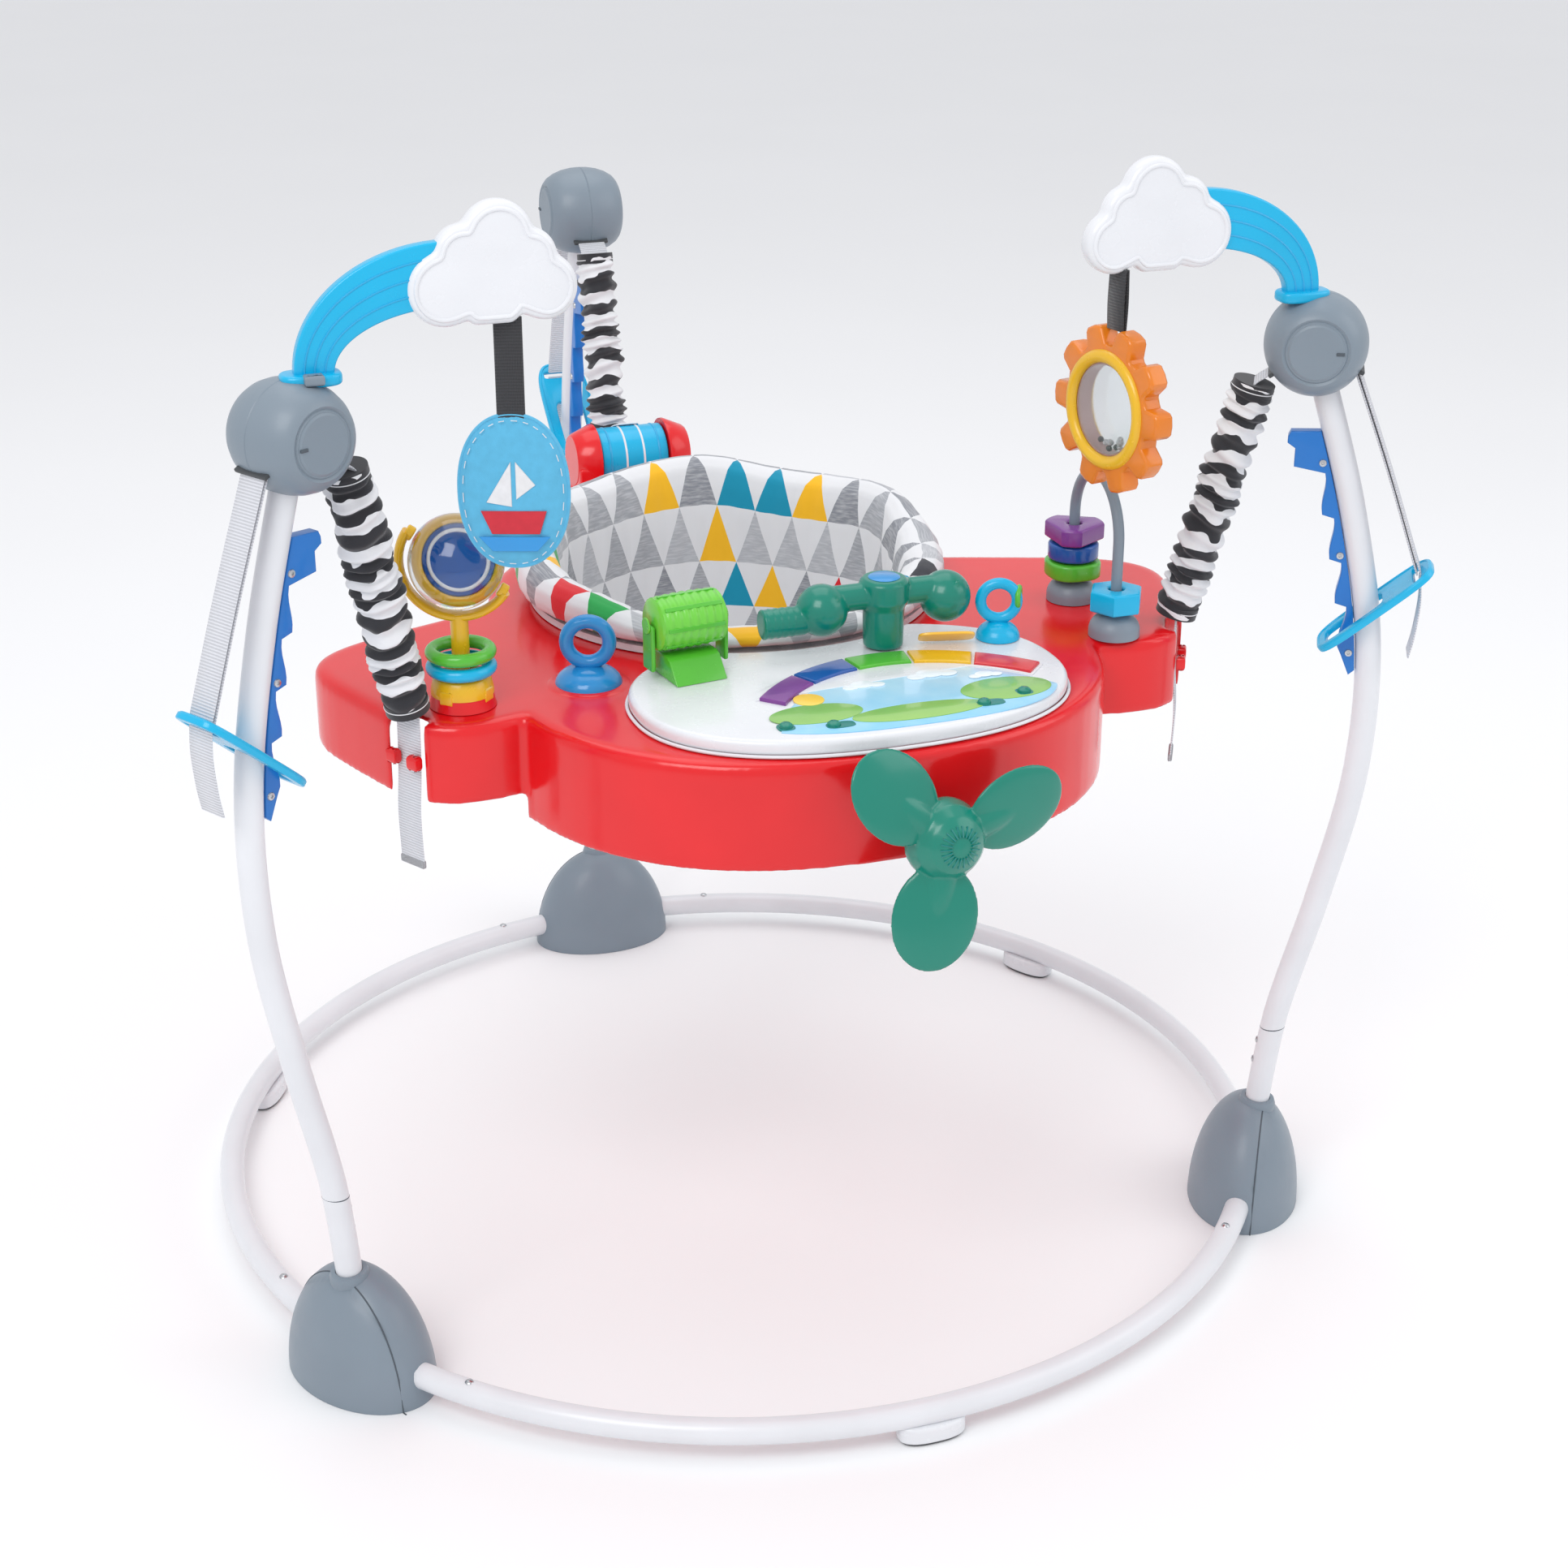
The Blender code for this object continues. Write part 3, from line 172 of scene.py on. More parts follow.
def zebra():
    """White cloth printed with uneven black animal stripes that run round the sleeve."""
    made, tree, shader, coord, u, v = cloth_base("zebra_cloth")
    wobble = add(tree, "ShaderNodeTexNoise",
                 {"Vector": coord.outputs["Object"], "Scale": 38.0, "Detail": 1.5})
    shift = calc(tree, "MULTIPLY", wobble.outputs["Fac"], 0.026)
    wave = calc(tree, "SINE", calc(tree, "MULTIPLY", calc(tree, "ADD", v, shift), 2 * math.pi / 0.0215))
    ink = calc(tree, "GREATER_THAN", wave, 0.05)
    tree.links.new(mix(tree, ink, rgb((0.80, 0.80, 0.82)), rgb((0.025, 0.025, 0.03))),
                   shader.inputs["Base Color"])
    bump = add(tree, "ShaderNodeBump",
               {"Strength": 0.35, "Distance": 0.0004, "Height": threads(tree, u, v, 0.0012)})
    tree.links.new(bump.outputs["Normal"], shader.inputs["Normal"])
    return made


def triangle_print():
    """Rows of triangles in white and heather grey with a few bright ones, on woven cloth."""
    made, tree, shader, coord, u, v = cloth_base("triangle_cloth")
    around = 26
    base, tall = 2 * math.pi * SEAT_UV_RADIUS / around, 0.030
    row_place = calc(tree, "DIVIDE", v, tall)
    row = calc(tree, "FLOOR", row_place)
    rise = calc(tree, "SUBTRACT", 1.0, calc(tree, "FRACT", row_place))
    x = calc(tree, "ADD", calc(tree, "DIVIDE", u, base), calc(tree, "MULTIPLY", row, 0.5))
    off_middle = calc(tree, "ABSOLUTE", calc(tree, "SUBTRACT", calc(tree, "FRACT", x), 0.5))
    upright = calc(tree, "LESS_THAN", calc(tree, "MULTIPLY", off_middle, 2.0),
                   calc(tree, "SUBTRACT", 1.0, rise))
    cell = calc(tree, "FLOORED_MODULO", calc(tree, "FLOOR", x), around)
    key = add(tree, "ShaderNodeCombineXYZ", {0: cell, 1: row, 2: 3.0})
    dice = add(tree, "ShaderNodeTexWhiteNoise", {"Vector": key.outputs[0]}, noise_dimensions="3D")
    ramp = add(tree, "ShaderNodeValToRGB", {"Fac": dice.outputs["Value"]})
    ramp.color_ramp.interpolation = "CONSTANT"
    stops = [(0.0, (0.36, 0.37, 0.40)), (0.30, (0.25, 0.26, 0.29)), (0.56, (0.46, 0.47, 0.50)),
             (0.74, (0.95, 0.50, 0.01)), (0.80, (0.72, 0.01, 0.02)), (0.86, (0.02, 0.38, 0.08)),
             (0.91, (0.0, 0.28, 0.44)), (0.965, (0.02, 0.02, 0.03))]
    for place, colour in stops[2:]:
        ramp.color_ramp.elements.new(place)
    for element, (place, colour) in zip(ramp.color_ramp.elements, stops):
        element.position = place
        element.color = rgb(colour)
    slub = add(tree, "ShaderNodeTexNoise", {"Vector": add(tree, "ShaderNodeMapping", {
        "Vector": coord.outputs["UV"], "Scale": (90.0, 900.0, 1.0)}).outputs[0], "Scale": 1.0,
        "Detail": 4.0})
    fleck = calc(tree, "MULTIPLY", calc(tree, "SUBTRACT", slub.outputs["Fac"], 0.42), 1.3)
    greyish = calc(tree, "LESS_THAN", dice.outputs["Value"], 0.74)
    heather = mix(tree, calc(tree, "MULTIPLY", fleck, greyish), ramp.outputs["Color"],
                  rgb((0.84, 0.84, 0.86)))
    cloth = mix(tree, upright, rgb((0.78, 0.78, 0.80)), heather)
    tree.links.new(cloth, shader.inputs["Base Color"])
    creases = add(tree, "ShaderNodeTexNoise",
                  {"Vector": coord.outputs["Object"], "Scale": 22.0, "Detail": 3.0})
    height = calc(tree, "ADD", calc(tree, "MULTIPLY", threads(tree, u, v, 0.0011), 0.25),
                  calc(tree, "MULTIPLY", creases.outputs["Fac"], 6.0))
    bump = add(tree, "ShaderNodeBump", {"Strength": 0.5, "Distance": 0.0006, "Height": height})
    tree.links.new(bump.outputs["Normal"], shader.inputs["Normal"])
    return made


def plain_cloth(name, colour, pitch=0.0012):
    made, tree, shader, coord, u, v = cloth_base(name)
    slub = add(tree, "ShaderNodeTexNoise",
               {"Vector": coord.outputs["Object"], "Scale": 160.0, "Detail": 4.0})
    darker = tuple(c * 0.78 for c in colour)
    tree.links.new(mix(tree, slub.outputs["Fac"], rgb(darker), rgb(colour)), shader.inputs["Base Color"])
    bump = add(tree, "ShaderNodeBump",
               {"Strength": 0.4, "Distance": 0.0004, "Height": threads(tree, u, v, pitch)})
    tree.links.new(bump.outputs["Normal"], shader.inputs["Normal"])
    return made


def printed(name, low, high, centre, reach, roughness=0.25):
    """A glossy printed film that fades from one colour to another along Y, with a fine print grain."""
    made, tree, shader, coord = start(name)
    split = add(tree, "ShaderNodeSeparateXYZ", {"Vector": coord.outputs["Object"]})
    fade = calc(tree, "DIVIDE", calc(tree, "SUBTRACT", split.outputs[1], centre - reach), 2 * reach)
    patch = add(tree, "ShaderNodeTexNoise",
                {"Vector": coord.outputs["Object"], "Scale": 45.0, "Detail": 2.0})
    soft = calc(tree, "ADD", fade,
                calc(tree, "MULTIPLY", calc(tree, "SUBTRACT", patch.outputs["Fac"], 0.5), 0.5))
    tree.links.new(mix(tree, soft, rgb(low), rgb(high)), shader.inputs["Base Color"])
    dots = add(tree, "ShaderNodeTexNoise", {"Vector": coord.outputs["Object"], "Scale": 700.0})
    bump = add(tree, "ShaderNodeBump",
               {"Strength": 0.05, "Distance": 0.0003, "Height": dots.outputs["Fac"]})
    tree.links.new(bump.outputs["Normal"], shader.inputs["Normal"])
    shader.inputs["Roughness"].default_value = roughness
    shader.inputs["Coat Weight"].default_value = 0.4
    return made


WHITE_PAINT = plastic("white_paint_look", (0.78, 0.79, 0.82), 0.32, 0.03, 0.3)
GREY = plastic("grey_moulding", (0.215, 0.265, 0.315), 0.42, 0.08, 0.08)
GREY_DARK = plastic("grey_seam", (0.07, 0.09, 0.11), 0.6)
CYAN = plastic("cyan_moulding", (0.0, 0.45, 0.76), 0.25, coat=0.1)
CYAN_DEEP = plastic("cyan_rib", (0.01, 0.40, 0.72), 0.3)
WHITE = plastic("white_moulding", (0.80, 0.81, 0.84), 0.26)
RACK = plastic("blue_rack", (0.0, 0.17, 0.58), 0.35)
RED = plastic("red_moulding", (0.78, 0.004, 0.008), 0.20, 0.03, 0.15)
TEAL = plastic("teal_moulding", (0.0, 0.22, 0.155), 0.22, 0.04, 0.15)
TEAL_DEEP = plastic("teal_detail", (0.0, 0.21, 0.185), 0.3)
YELLOW = plastic("yellow_moulding", (0.98, 0.56, 0.01), 0.25, see_through=0.15)
GREEN = plastic("green_moulding", (0.10, 0.55, 0.035), 0.25, see_through=0.1)
GREEN_BRIGHT = plastic("bright_green_moulding", (0.16, 0.62, 0.05), 0.25)
BLUE = plastic("blue_moulding", (0.02, 0.33, 0.78), 0.2, see_through=0.15)
BLUE_DEEP = plastic("deep_blue_moulding", (0.01, 0.10, 0.42), 0.2, see_through=0.1)
PURPLE = plastic("purple_moulding", (0.24, 0.05, 0.33), 0.22, see_through=0.15)
ORANGE = plastic("orange_moulding", (0.98, 0.27, 0.012), 0.2, see_through=0.25)
PINKISH = plastic("rattle_wall", (0.80, 0.50, 0.46), 0.35)
CLEAR = plastic("clear_moulding", (0.93, 0.96, 0.98), 0.10, 0.01, 0.6, see_through=1.0)
BLACK = plastic("black_moulding", (0.02, 0.02, 0.022), 0.35)
CHROME = plastic("screw_steel", (0.55, 0.56, 0.58), 0.28, metallic=1.0)
RUBBER = plastic("dark_rubber", (0.05, 0.055, 0.06), 0.7)
STRAP_WHITE = webbing("white_webbing", (0.80, 0.81, 0.86))
STRAP_BLACK = webbing("black_webbing", (0.045, 0.045, 0.05))
ZEBRA = zebra()
HEM = plain_cloth("black_hem", (0.03, 0.03, 0.035))
STITCH = plain_cloth("white_thread", (0.85, 0.85, 0.87), 0.0006)
SEAT_CLOTH = triangle_print()
LABEL = plain_cloth("white_label", (0.85, 0.85, 0.86), 0.0008)
SKY_CLOTH = plain_cloth("sky_blue_satin", (0.12, 0.52, 0.80), 0.0009)
RED_CLOTH = plain_cloth("red_satin", (0.66, 0.03, 0.05), 0.0009)
PAPER_WHITE = plain_cloth("white_satin", (0.85, 0.85, 0.87), 0.0009)
PANEL = printed("console_picture", (0.25, 0.62, 0.90), (0.66, 0.86, 0.97), -0.262, 0.07)
HILL = printed("printed_hills", (0.35, 0.62, 0.13), (0.18, 0.45, 0.10), -0.29, 0.05)
CLOUD_INK = printed("printed_clouds", (0.92, 0.95, 0.98), (0.85, 0.92, 0.97), -0.26, 0.05)
SUN_INK = printed("printed_sun", (0.98, 0.72, 0.10), (0.98, 0.55, 0.05), -0.26, 0.05)
KEYS = {"purple": PURPLE, "blue": BLUE_DEEP, "green": GREEN, "yellow": YELLOW,
        "red": plastic("red_key", (0.80, 0.02, 0.03), 0.2, see_through=0.15)}


# ---------------------------------------------------------------- places and shapes

def at(x, y, z):
    return Vector((x, y + RING_Y, z))


def placed(x, y, z):
    return Matrix.Translation(at(x, y, z))


def shifted(x, y, z):
    return Matrix.Translation((x, y, z))


def turned(angle, axis):
    return Matrix.Rotation(math.radians(angle), 4, axis)


def polar(reach, azimuth, z):
    turn = math.radians(azimuth)
    return at(reach * math.cos(turn), reach * math.sin(turn), z)


def turned_frame(point, azimuth=0.0, tilt=0.0, axis="Y"):
    return (Matrix.Translation(point) @ turned(azimuth, "Z")
            @ turned(tilt, axis))


def standing(point, azimuth):
    """Local XY is the upright plane along the azimuth: +X outward, +Y up."""
    return turned_frame(point, azimuth) @ turned(90, "X")


def leg_reach(height):
    heights = [h for h, r in LEG_STATIONS]
    reaches = [r for h, r in LEG_STATIONS]
    last = len(heights) - 2
    k = max(0, min(last, sum(1 for h in heights[1:-1] if h <= height)))
    t = (height - heights[k]) / (heights[k + 1] - heights[k])
    before = reaches[k - 1] if k > 0 else 2 * reaches[0] - reaches[1]
    after = reaches[k + 2] if k < last else 2 * reaches[-1] - reaches[-2]
    p, q = reaches[k], reaches[k + 1]
    return 0.5 * (2 * p + (q - before) * t + (2 * before - 5 * p + 4 * q - after) * t ** 2
                  + (3 * p - before - 3 * q + after) * t ** 3)


def circle(radius, count=32):
    return [(radius * math.cos(2 * math.pi * i / count), radius * math.sin(2 * math.pi * i / count))
            for i in range(count)]


def superellipse(centre, half, power, count=64, azimuth=0.0):
    turn = math.radians(azimuth)
    points = []
    for i in range(count):
        c, s = math.cos(2 * math.pi * i / count), math.sin(2 * math.pi * i / count)
        x = half[0] * math.copysign(abs(c) ** (2 / power), c)
        y = half[1] * math.copysign(abs(s) ** (2 / power), s)
        points.append((centre[0] + x * math.cos(turn) - y * math.sin(turn),
                       centre[1] + x * math.sin(turn) + y * math.cos(turn)))
    return points


def show(name, mesh, look, matrix=None, sharp=35.0):
    mesh.materials.clear()
    mesh.materials.append(look)
    mesh.shade_smooth()
    mesh.set_sharp_from_angle(angle=math.radians(sharp))
    obj = bpy.data.objects.new(name, mesh)
    bpy.context.scene.collection.objects.link(obj)
    if matrix is not None:
        obj.matrix_world = matrix
    bpy.context.view_layer.update()
    return obj


def settle(obj):
    """Applies the object's modifiers, so that its mesh is final."""
    bpy.context.view_layer.update()
    look = obj.data.materials[0]
    mesh = bpy.data.meshes.new_from_object(obj.evaluated_get(bpy.context.evaluated_depsgraph_get()))
    obj.modifiers.clear()
    obj.data = mesh
    if not mesh.materials:
        mesh.materials.append(look)
    return obj


def from_bmesh(name, bm, look, matrix=None, sharp=35.0):
    mesh = bpy.data.meshes.new(name)
    bm.to_mesh(mesh)
    bm.free()
    return show(name, mesh, look, matrix, sharp)


def plate(name, outlines, thickness, look, matrix=None, bevel=0.001):
    """A flat piece with rounded edges; the outlines after the first are holes."""
    curve = bpy.data.curves.new(name, "CURVE")
    curve.dimensions = "2D"
    curve.fill_mode = "BOTH"
    curve.extrude = thickness / 2 - bevel
    curve.bevel_depth = bevel
    curve.bevel_resolution = 3
    curve.offset = -bevel
    for outline in outlines:
        spline = curve.splines.new("POLY")
        spline.points.add(len(outline) - 1)
        for knot, (x, y) in zip(spline.points, outline):
            knot.co = (x, y, 0.0, 1.0)
        spline.use_cyclic_u = True
    holder = bpy.data.objects.new(name, curve)
    bpy.context.scene.collection.objects.link(holder)
    bpy.context.view_layer.update()
    mesh = bpy.data.meshes.new_from_object(holder.evaluated_get(bpy.context.evaluated_depsgraph_get()))
    bpy.data.objects.remove(holder)
    bm = bmesh.new()
    bm.from_mesh(mesh)
    bmesh.ops.remove_doubles(bm, verts=bm.verts, dist=0.00001)
    bmesh.ops.recalc_face_normals(bm, faces=bm.faces)
    return from_bmesh(name, bm, look, matrix)


def lathe(name, profile, look, matrix=None, steps=64, sharp=40.0):
    """A turned piece about local Z from (radius, height) pairs."""
    bm = bmesh.new()
    rings = []
    for radius, height in profile:
        if radius < 1e-6:
            rings.append([bm.verts.new((0, 0, height))])
        else:
            rings.append([bm.verts.new((x, y, height)) for x, y in circle(radius, steps)])
    for upper, lower in zip(rings, rings[1:]):
        for i in range(steps):
            j = (i + 1) % steps
            corners = [upper[i % len(upper)], upper[j % len(upper)], lower[j % len(lower)],
                       lower[i % len(lower)]]
            unique = list(dict.fromkeys(corners))
            if len(unique) > 2:
                bm.faces.new(unique)
    bmesh.ops.recalc_face_normals(bm, faces=bm.faces)
    return from_bmesh(name, bm, look, matrix, sharp)


def ball(name, radii, look, matrix=None, segments=48):
    bm = bmesh.new()
    bmesh.ops.create_uvsphere(bm, u_segments=segments, v_segments=segments // 2, radius=1.0,
                              matrix=Matrix.Diagonal((*radii, 1.0)))
    return from_bmesh(name, bm, look, matrix)


def rod(name, radius, length, look, matrix=None, bevel=0.0008):
    half = length / 2
    return lathe(name, [(0, half), (radius - bevel, half), (radius, half - bevel), (radius, -half + bevel),
                        (radius - bevel, -half), (0, -half)], look, matrix, steps=40)


def torus(name, major, minor, look, matrix=None):
    bm = bmesh.new()
    around, across = 56, 20
    rings = [[bm.verts.new(((major + minor * math.cos(b)) * math.cos(a),
                            (major + minor * math.cos(b)) * math.sin(a),
                            minor * math.sin(b)))
                            for b in [2 * math.pi * j / across for j in range(across)]]
             for a in [2 * math.pi * i / around for i in range(around)]]
    for i in range(around):
        for j in range(across):
            bm.faces.new((rings[i][j], rings[(i + 1) % around][j],
                          rings[(i + 1) % around][(j + 1) % across],
                          rings[i][(j + 1) % across]))
    bmesh.ops.recalc_face_normals(bm, faces=bm.faces)
    return from_bmesh(name, bm, look, matrix)


def block(name, size, look, matrix=None, bevel=0.0012):
    return plate(name, [superellipse((0, 0), (size[0] / 2, size[1] / 2), 12, 48)], size[2], look, matrix,
                 min(bevel, size[2] * 0.45))


def smooth_path(points, per_span=8):
    """A Catmull-Rom line through the points."""
    ends = [2 * points[0] - points[1]] + list(points) + [2 * points[-1] - points[-2]]
    line = []
    for k in range(1, len(ends) - 2):
        a, b, c, d = ends[k - 1:k + 3]
        for i in range(per_span):
            t = i / per_span
            line.append(0.5 * (2 * b + (c - a) * t + (2 * a - 5 * b + 4 * c - d) * t ** 2
                               + (3 * b - a - 3 * c + d) * t ** 3))
    line.append(points[-1])
    return line


def sweep(name, path, section, across, look, closed=False, shape=None, sharp=35.0):
    """The section carried along the path, its first coordinate kept along `across`. UV is in metres."""
    bm = bmesh.new()
    layer = bm.loops.layers.uv.new("UVMap")
    count, rings, lengths = len(path), [], [0.0]
    for i, point in enumerate(path):
        before = path[i - 1] if i or closed else path[0]
        after = path[(i + 1) % count] if i < count - 1 or closed else path[-1]
        ahead = (after - before).normalized()
        side = (across - ahead * across.dot(ahead)).normalized()
        up = ahead.cross(side)
        if i:
            lengths.append(lengths[-1] + (point - path[i - 1]).length)
        ring = []
        for k, (a, b) in enumerate(section):
            grow = shape(i / (count - 1), k / len(section)) if shape else 1.0
            ring.append(bm.verts.new(point + side * a * grow + up * b * grow))
        rings.append(ring)
    spans = [0.0]
    for k in range(len(section)):
        spans.append(spans[-1] + math.dist(section[k], section[(k + 1) % len(section)]))
    last = count if closed else count - 1
    for i in range(last):
        j = (i + 1) % count
        far = lengths[i] + (path[j] - path[i]).length
        for k in range(len(section)):
            m = (k + 1) % len(section)
            face = bm.faces.new((rings[i][k], rings[i][m], rings[j][m], rings[j][k]))
            for loop, (u, v) in zip(face.loops, ((spans[k], lengths[i]), (spans[k + 1], lengths[i]),
                                                 (spans[k + 1], far), (spans[k], far))):
                loop[layer].uv = (u, v)
    if not closed:
        bm.faces.new(rings[0][::-1])
        bm.faces.new(rings[-1])
    bmesh.ops.recalc_face_normals(bm, faces=bm.faces)
    return from_bmesh(name, bm, look, None, sharp)


def fused(name, pieces, look, voxel=0.0015, rounds=4, minus=()):
    """One moulding from overlapping solids, with softly rounded meeting lines."""
    bpy.context.view_layer.update()
    whole = bmesh.new()
    for piece in pieces:
        piece.data.transform(piece.matrix_world)
        whole.from_mesh(piece.data)
        bpy.data.objects.remove(piece)
    body = from_bmesh(name, whole, look)
    merge = body.modifiers.new("merge", "REMESH")
    merge.mode = "VOXEL"
    merge.voxel_size = voxel
    settle(body)
    for k, cutter in enumerate(minus):
        hole = body.modifiers.new(f"hole_{k}", "BOOLEAN")
        hole.operation = "DIFFERENCE"
        hole.solver = "EXACT"
        hole.object = cutter
    if minus:
        settle(body)
        for cutter in minus:
            bpy.data.objects.remove(cutter)
        merge = body.modifiers.new("merge", "REMESH")
        merge.mode = "VOXEL"
        merge.voxel_size = voxel
    soften = body.modifiers.new("soften", "SMOOTH")
    soften.factor = 0.5
    soften.iterations = rounds
    settle(body)
    body.data.materials.clear()
    body.data.materials.append(look)
    body.data.shade_smooth()
    return body


def put(body, slot, *pieces, instead=()):
    """The pieces move with the body; the CAD nodes in `instead` are hidden and the first piece is returned."""
    for piece in pieces:
        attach(piece, body)
    if instead:
        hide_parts(*instead)
    return pieces[0]


# ---------------------------------------------------------------- floor ring, feet, legs

def frame_metal():
    for name, first, last in (("front", 210.0, 330.0), ("right", 330.0, 450.0), ("left", 90.0, 210.0)):
        arc = [polar(RING_RADIUS, first + 0.3 + (last - first - 0.6) * i / 60,
                     RING_HEIGHT) for i in range(61)]
        tube = sweep(f"ring_{name}", arc, circle(TUBE, 28), UP, WHITE_PAINT)
        put("frame", "white_paint", tube, instead=[f"base_tube_{name}"])
        middle = (first + last) / 2
        for k, shift in enumerate((-1.0, 1.0)):
            cap = lathe(f"ring_{name}_button_{k}", [(0, 0.0016), (0.0026, 0.0010), (0.0034, 0.0), (0, 0)],
                        CHROME,
                        turned_frame(polar(RING_RADIUS, middle + shift * 46, RING_HEIGHT + TUBE - 0.0002),
                                     0), 24)
            put("frame", "spring_steel", cap)
        place = turned_frame(polar(RING_RADIUS - 0.001, middle, 0.0), middle + 90)
        pad = plate(f"floor_pad_{name}", [superellipse((0, 0), (0.026, 0.0135), 2.6, 48)], 0.014, WHITE,
                    place @ shifted(0, 0, 0.0085), 0.003)
        sole = plate(f"floor_pad_sole_{name}", [superellipse((0, 0), (0.0235, 0.0115), 2.6, 48)], 0.0024,
                     RUBBER,
                     place @ shifted(0, 0, 0.0013), 0.0006)
        put("frame", "white_plastic", pad)
        put("frame", "grey_plastic", sole)
    for side, azimuth in LEGS.items():
        line = [polar(leg_reach(h), azimuth, h) for h in [0.036 + (0.671) * i / 60 for i in range(61)]]
        across = polar(1, azimuth + 90, 0) - polar(0, 0, 0)
        put("frame", "white_paint", sweep(f"leg_tube_{side}", line, circle(TUBE, 28), across, WHITE_PAINT),
            instead=[f"leg_{side}"])
        seam_height = 0.160
        seam = torus(f"leg_seam_{side}", TUBE - 0.0002, 0.0005, GREY_DARK,
                     turned_frame(polar(leg_reach(seam_height), azimuth, seam_height), azimuth, -6))
        put("frame", "grey_plastic", seam)
        for k, height in enumerate((0.128, 0.146)):
            outward = polar(leg_reach(height) - TUBE + 0.0004, azimuth, height)
            button = lathe(f"leg_button_{side}_{k}",
                           [(0, 0.0018), (0.0024, 0.0012), (0.0032, 0.0), (0, -0.001)],
                           CHROME, turned_frame(outward, azimuth, -90), 24)
            put("frame", "spring_steel", button)
        foot(side, azimuth)


def foot(side, azimuth):
    """A rounded foot with a curved parting line between its inner and outer halves."""
    bm = bmesh.new()
    bmesh.ops.create_uvsphere(bm, u_segments=72, v_segments=48, radius=1.0)
    for vert in bm.verts:
        x, y, z = vert.co
        vert.co = Vector((x * 0.0452, y * 0.0662, max(0.0, z) * 0.0922))
        level = max(0.0, z)
        gap = abs(vert.co.x - (0.017 - 0.030 * (1 - level) ** 2))
        if gap < 0.0012 and z > 0.02:
            vert.co *= 0.988
    bmesh.ops.remove_doubles(bm, verts=bm.verts, dist=0.00002)
    bmesh.ops.recalc_face_normals(bm, faces=bm.faces)
    matrix = turned_frame(polar(RING_RADIUS, azimuth, 0), azimuth)
    shell = from_bmesh(f"foot_cover_{side}", bm, GREY, matrix, 60)
    put("frame", "grey_plastic", shell, instead=[f"foot_{side}"])
    seam = []
    for i in range(41):
        y = -0.0655 + 0.131 * i / 40
        level = math.sqrt(max(0.0, 1 - (y / 0.0662) ** 2))
        x = 0.012 + 0.004 * (y / 0.0662)
        z = 0.0922 * math.sqrt(max(0.0, level ** 2 - (x / 0.0452) ** 2))
        seam.append(matrix @ Vector((x, y, z)))
    line = sweep(f"foot_seam_{side}", seam, circle(0.0006, 8), matrix.to_3x3() @ Vector((1, 0, 0)),
                 GREY_DARK)
    put("frame", "grey_plastic", line)
    collar = lathe(f"foot_collar_{side}",
                   [(0.0102, 0.004), (0.0135, 0.0036), (0.0150, 0.0), (0.0145, -0.012),
                                           (0.0102, -0.012), (0.0102, 0.004)], GREY,
                   turned_frame(polar(leg_reach(0.0905), azimuth, 0.0895), azimuth, 5))
    put("frame", "grey_plastic", collar)


# ---------------------------------------------------------------- hubs, racks, loops and their straps

def hub_point(azimuth, angle, distance):
    turn = math.radians(angle)
    return polar(HUB_REACH + distance * math.cos(turn), azimuth, HUB_HEIGHT + distance * math.sin(turn))


def hubs():
    sideways = turned(-90, "X")
    for side, azimuth in LEGS.items():
        matrix = turned_frame(polar(HUB_REACH, azimuth, HUB_HEIGHT), azimuth) @ sideways
        profile = [(0, 0.0322), (0.0215, 0.0322), (0.0225, 0.0312), (0.0245, 0.0322), (0.0265, 0.0312),
                   (0.0300, 0.0282), (0.0335, 0.0225), (0.0362, 0.0150), (0.0376, 0.0070), (0.0379, 0.0008),
                   (0.0374, 0.0), (0.0379, -0.0008), (0.0376, -0.0070), (0.0362, -0.0150),
                   (0.0335, -0.0225),
                   (0.0300, -0.0282), (0.0265, -0.0312), (0.0245, -0.0322), (0.0225, -0.0312),
                   (0.0215, -0.0322), (0, -0.0322)]
        shell = lathe(f"hub_shell_{side}", profile, GREY, matrix, 96, 25)
        discs = [lathe(f"hub_disc_{side}_{k}",
                       [(0, end * 0.0334), (0.0190, end * 0.0332), (0.0206, end * 0.0324),
                                                (0.0206, end * 0.0300), (0, end * 0.0300)], GREY, matrix,
                                                64, 25)
                 for k, end in enumerate((-1, 1))]
        put("frame", "grey_plastic", shell, *discs, instead=[f"hub_{side}"])
        for label, angle in (("inner", 216.0), ("outer", -27.0)):
            # painted shade: a thin dark block on the hub surface stands for the shadow inside each strap slot
            slot_shade = block(f"hub_slot_shade_{side}_{label}", (0.006, 0.031, 0.0030), RUBBER,
                          turned_frame(hub_point(azimuth, angle, 0.0372), azimuth, -angle), 0.001)
            put("frame", "grey_plastic", slot_shade)
        for k, end in enumerate((-1, 1)):
            put("frame", "grey_plastic", block(
                f"hub_key_{side}_{k}", (0.006, 0.0022, 0.002), GREY_DARK,
                matrix @ shifted(0.0172, 0, end * 0.0331), 0.0004))


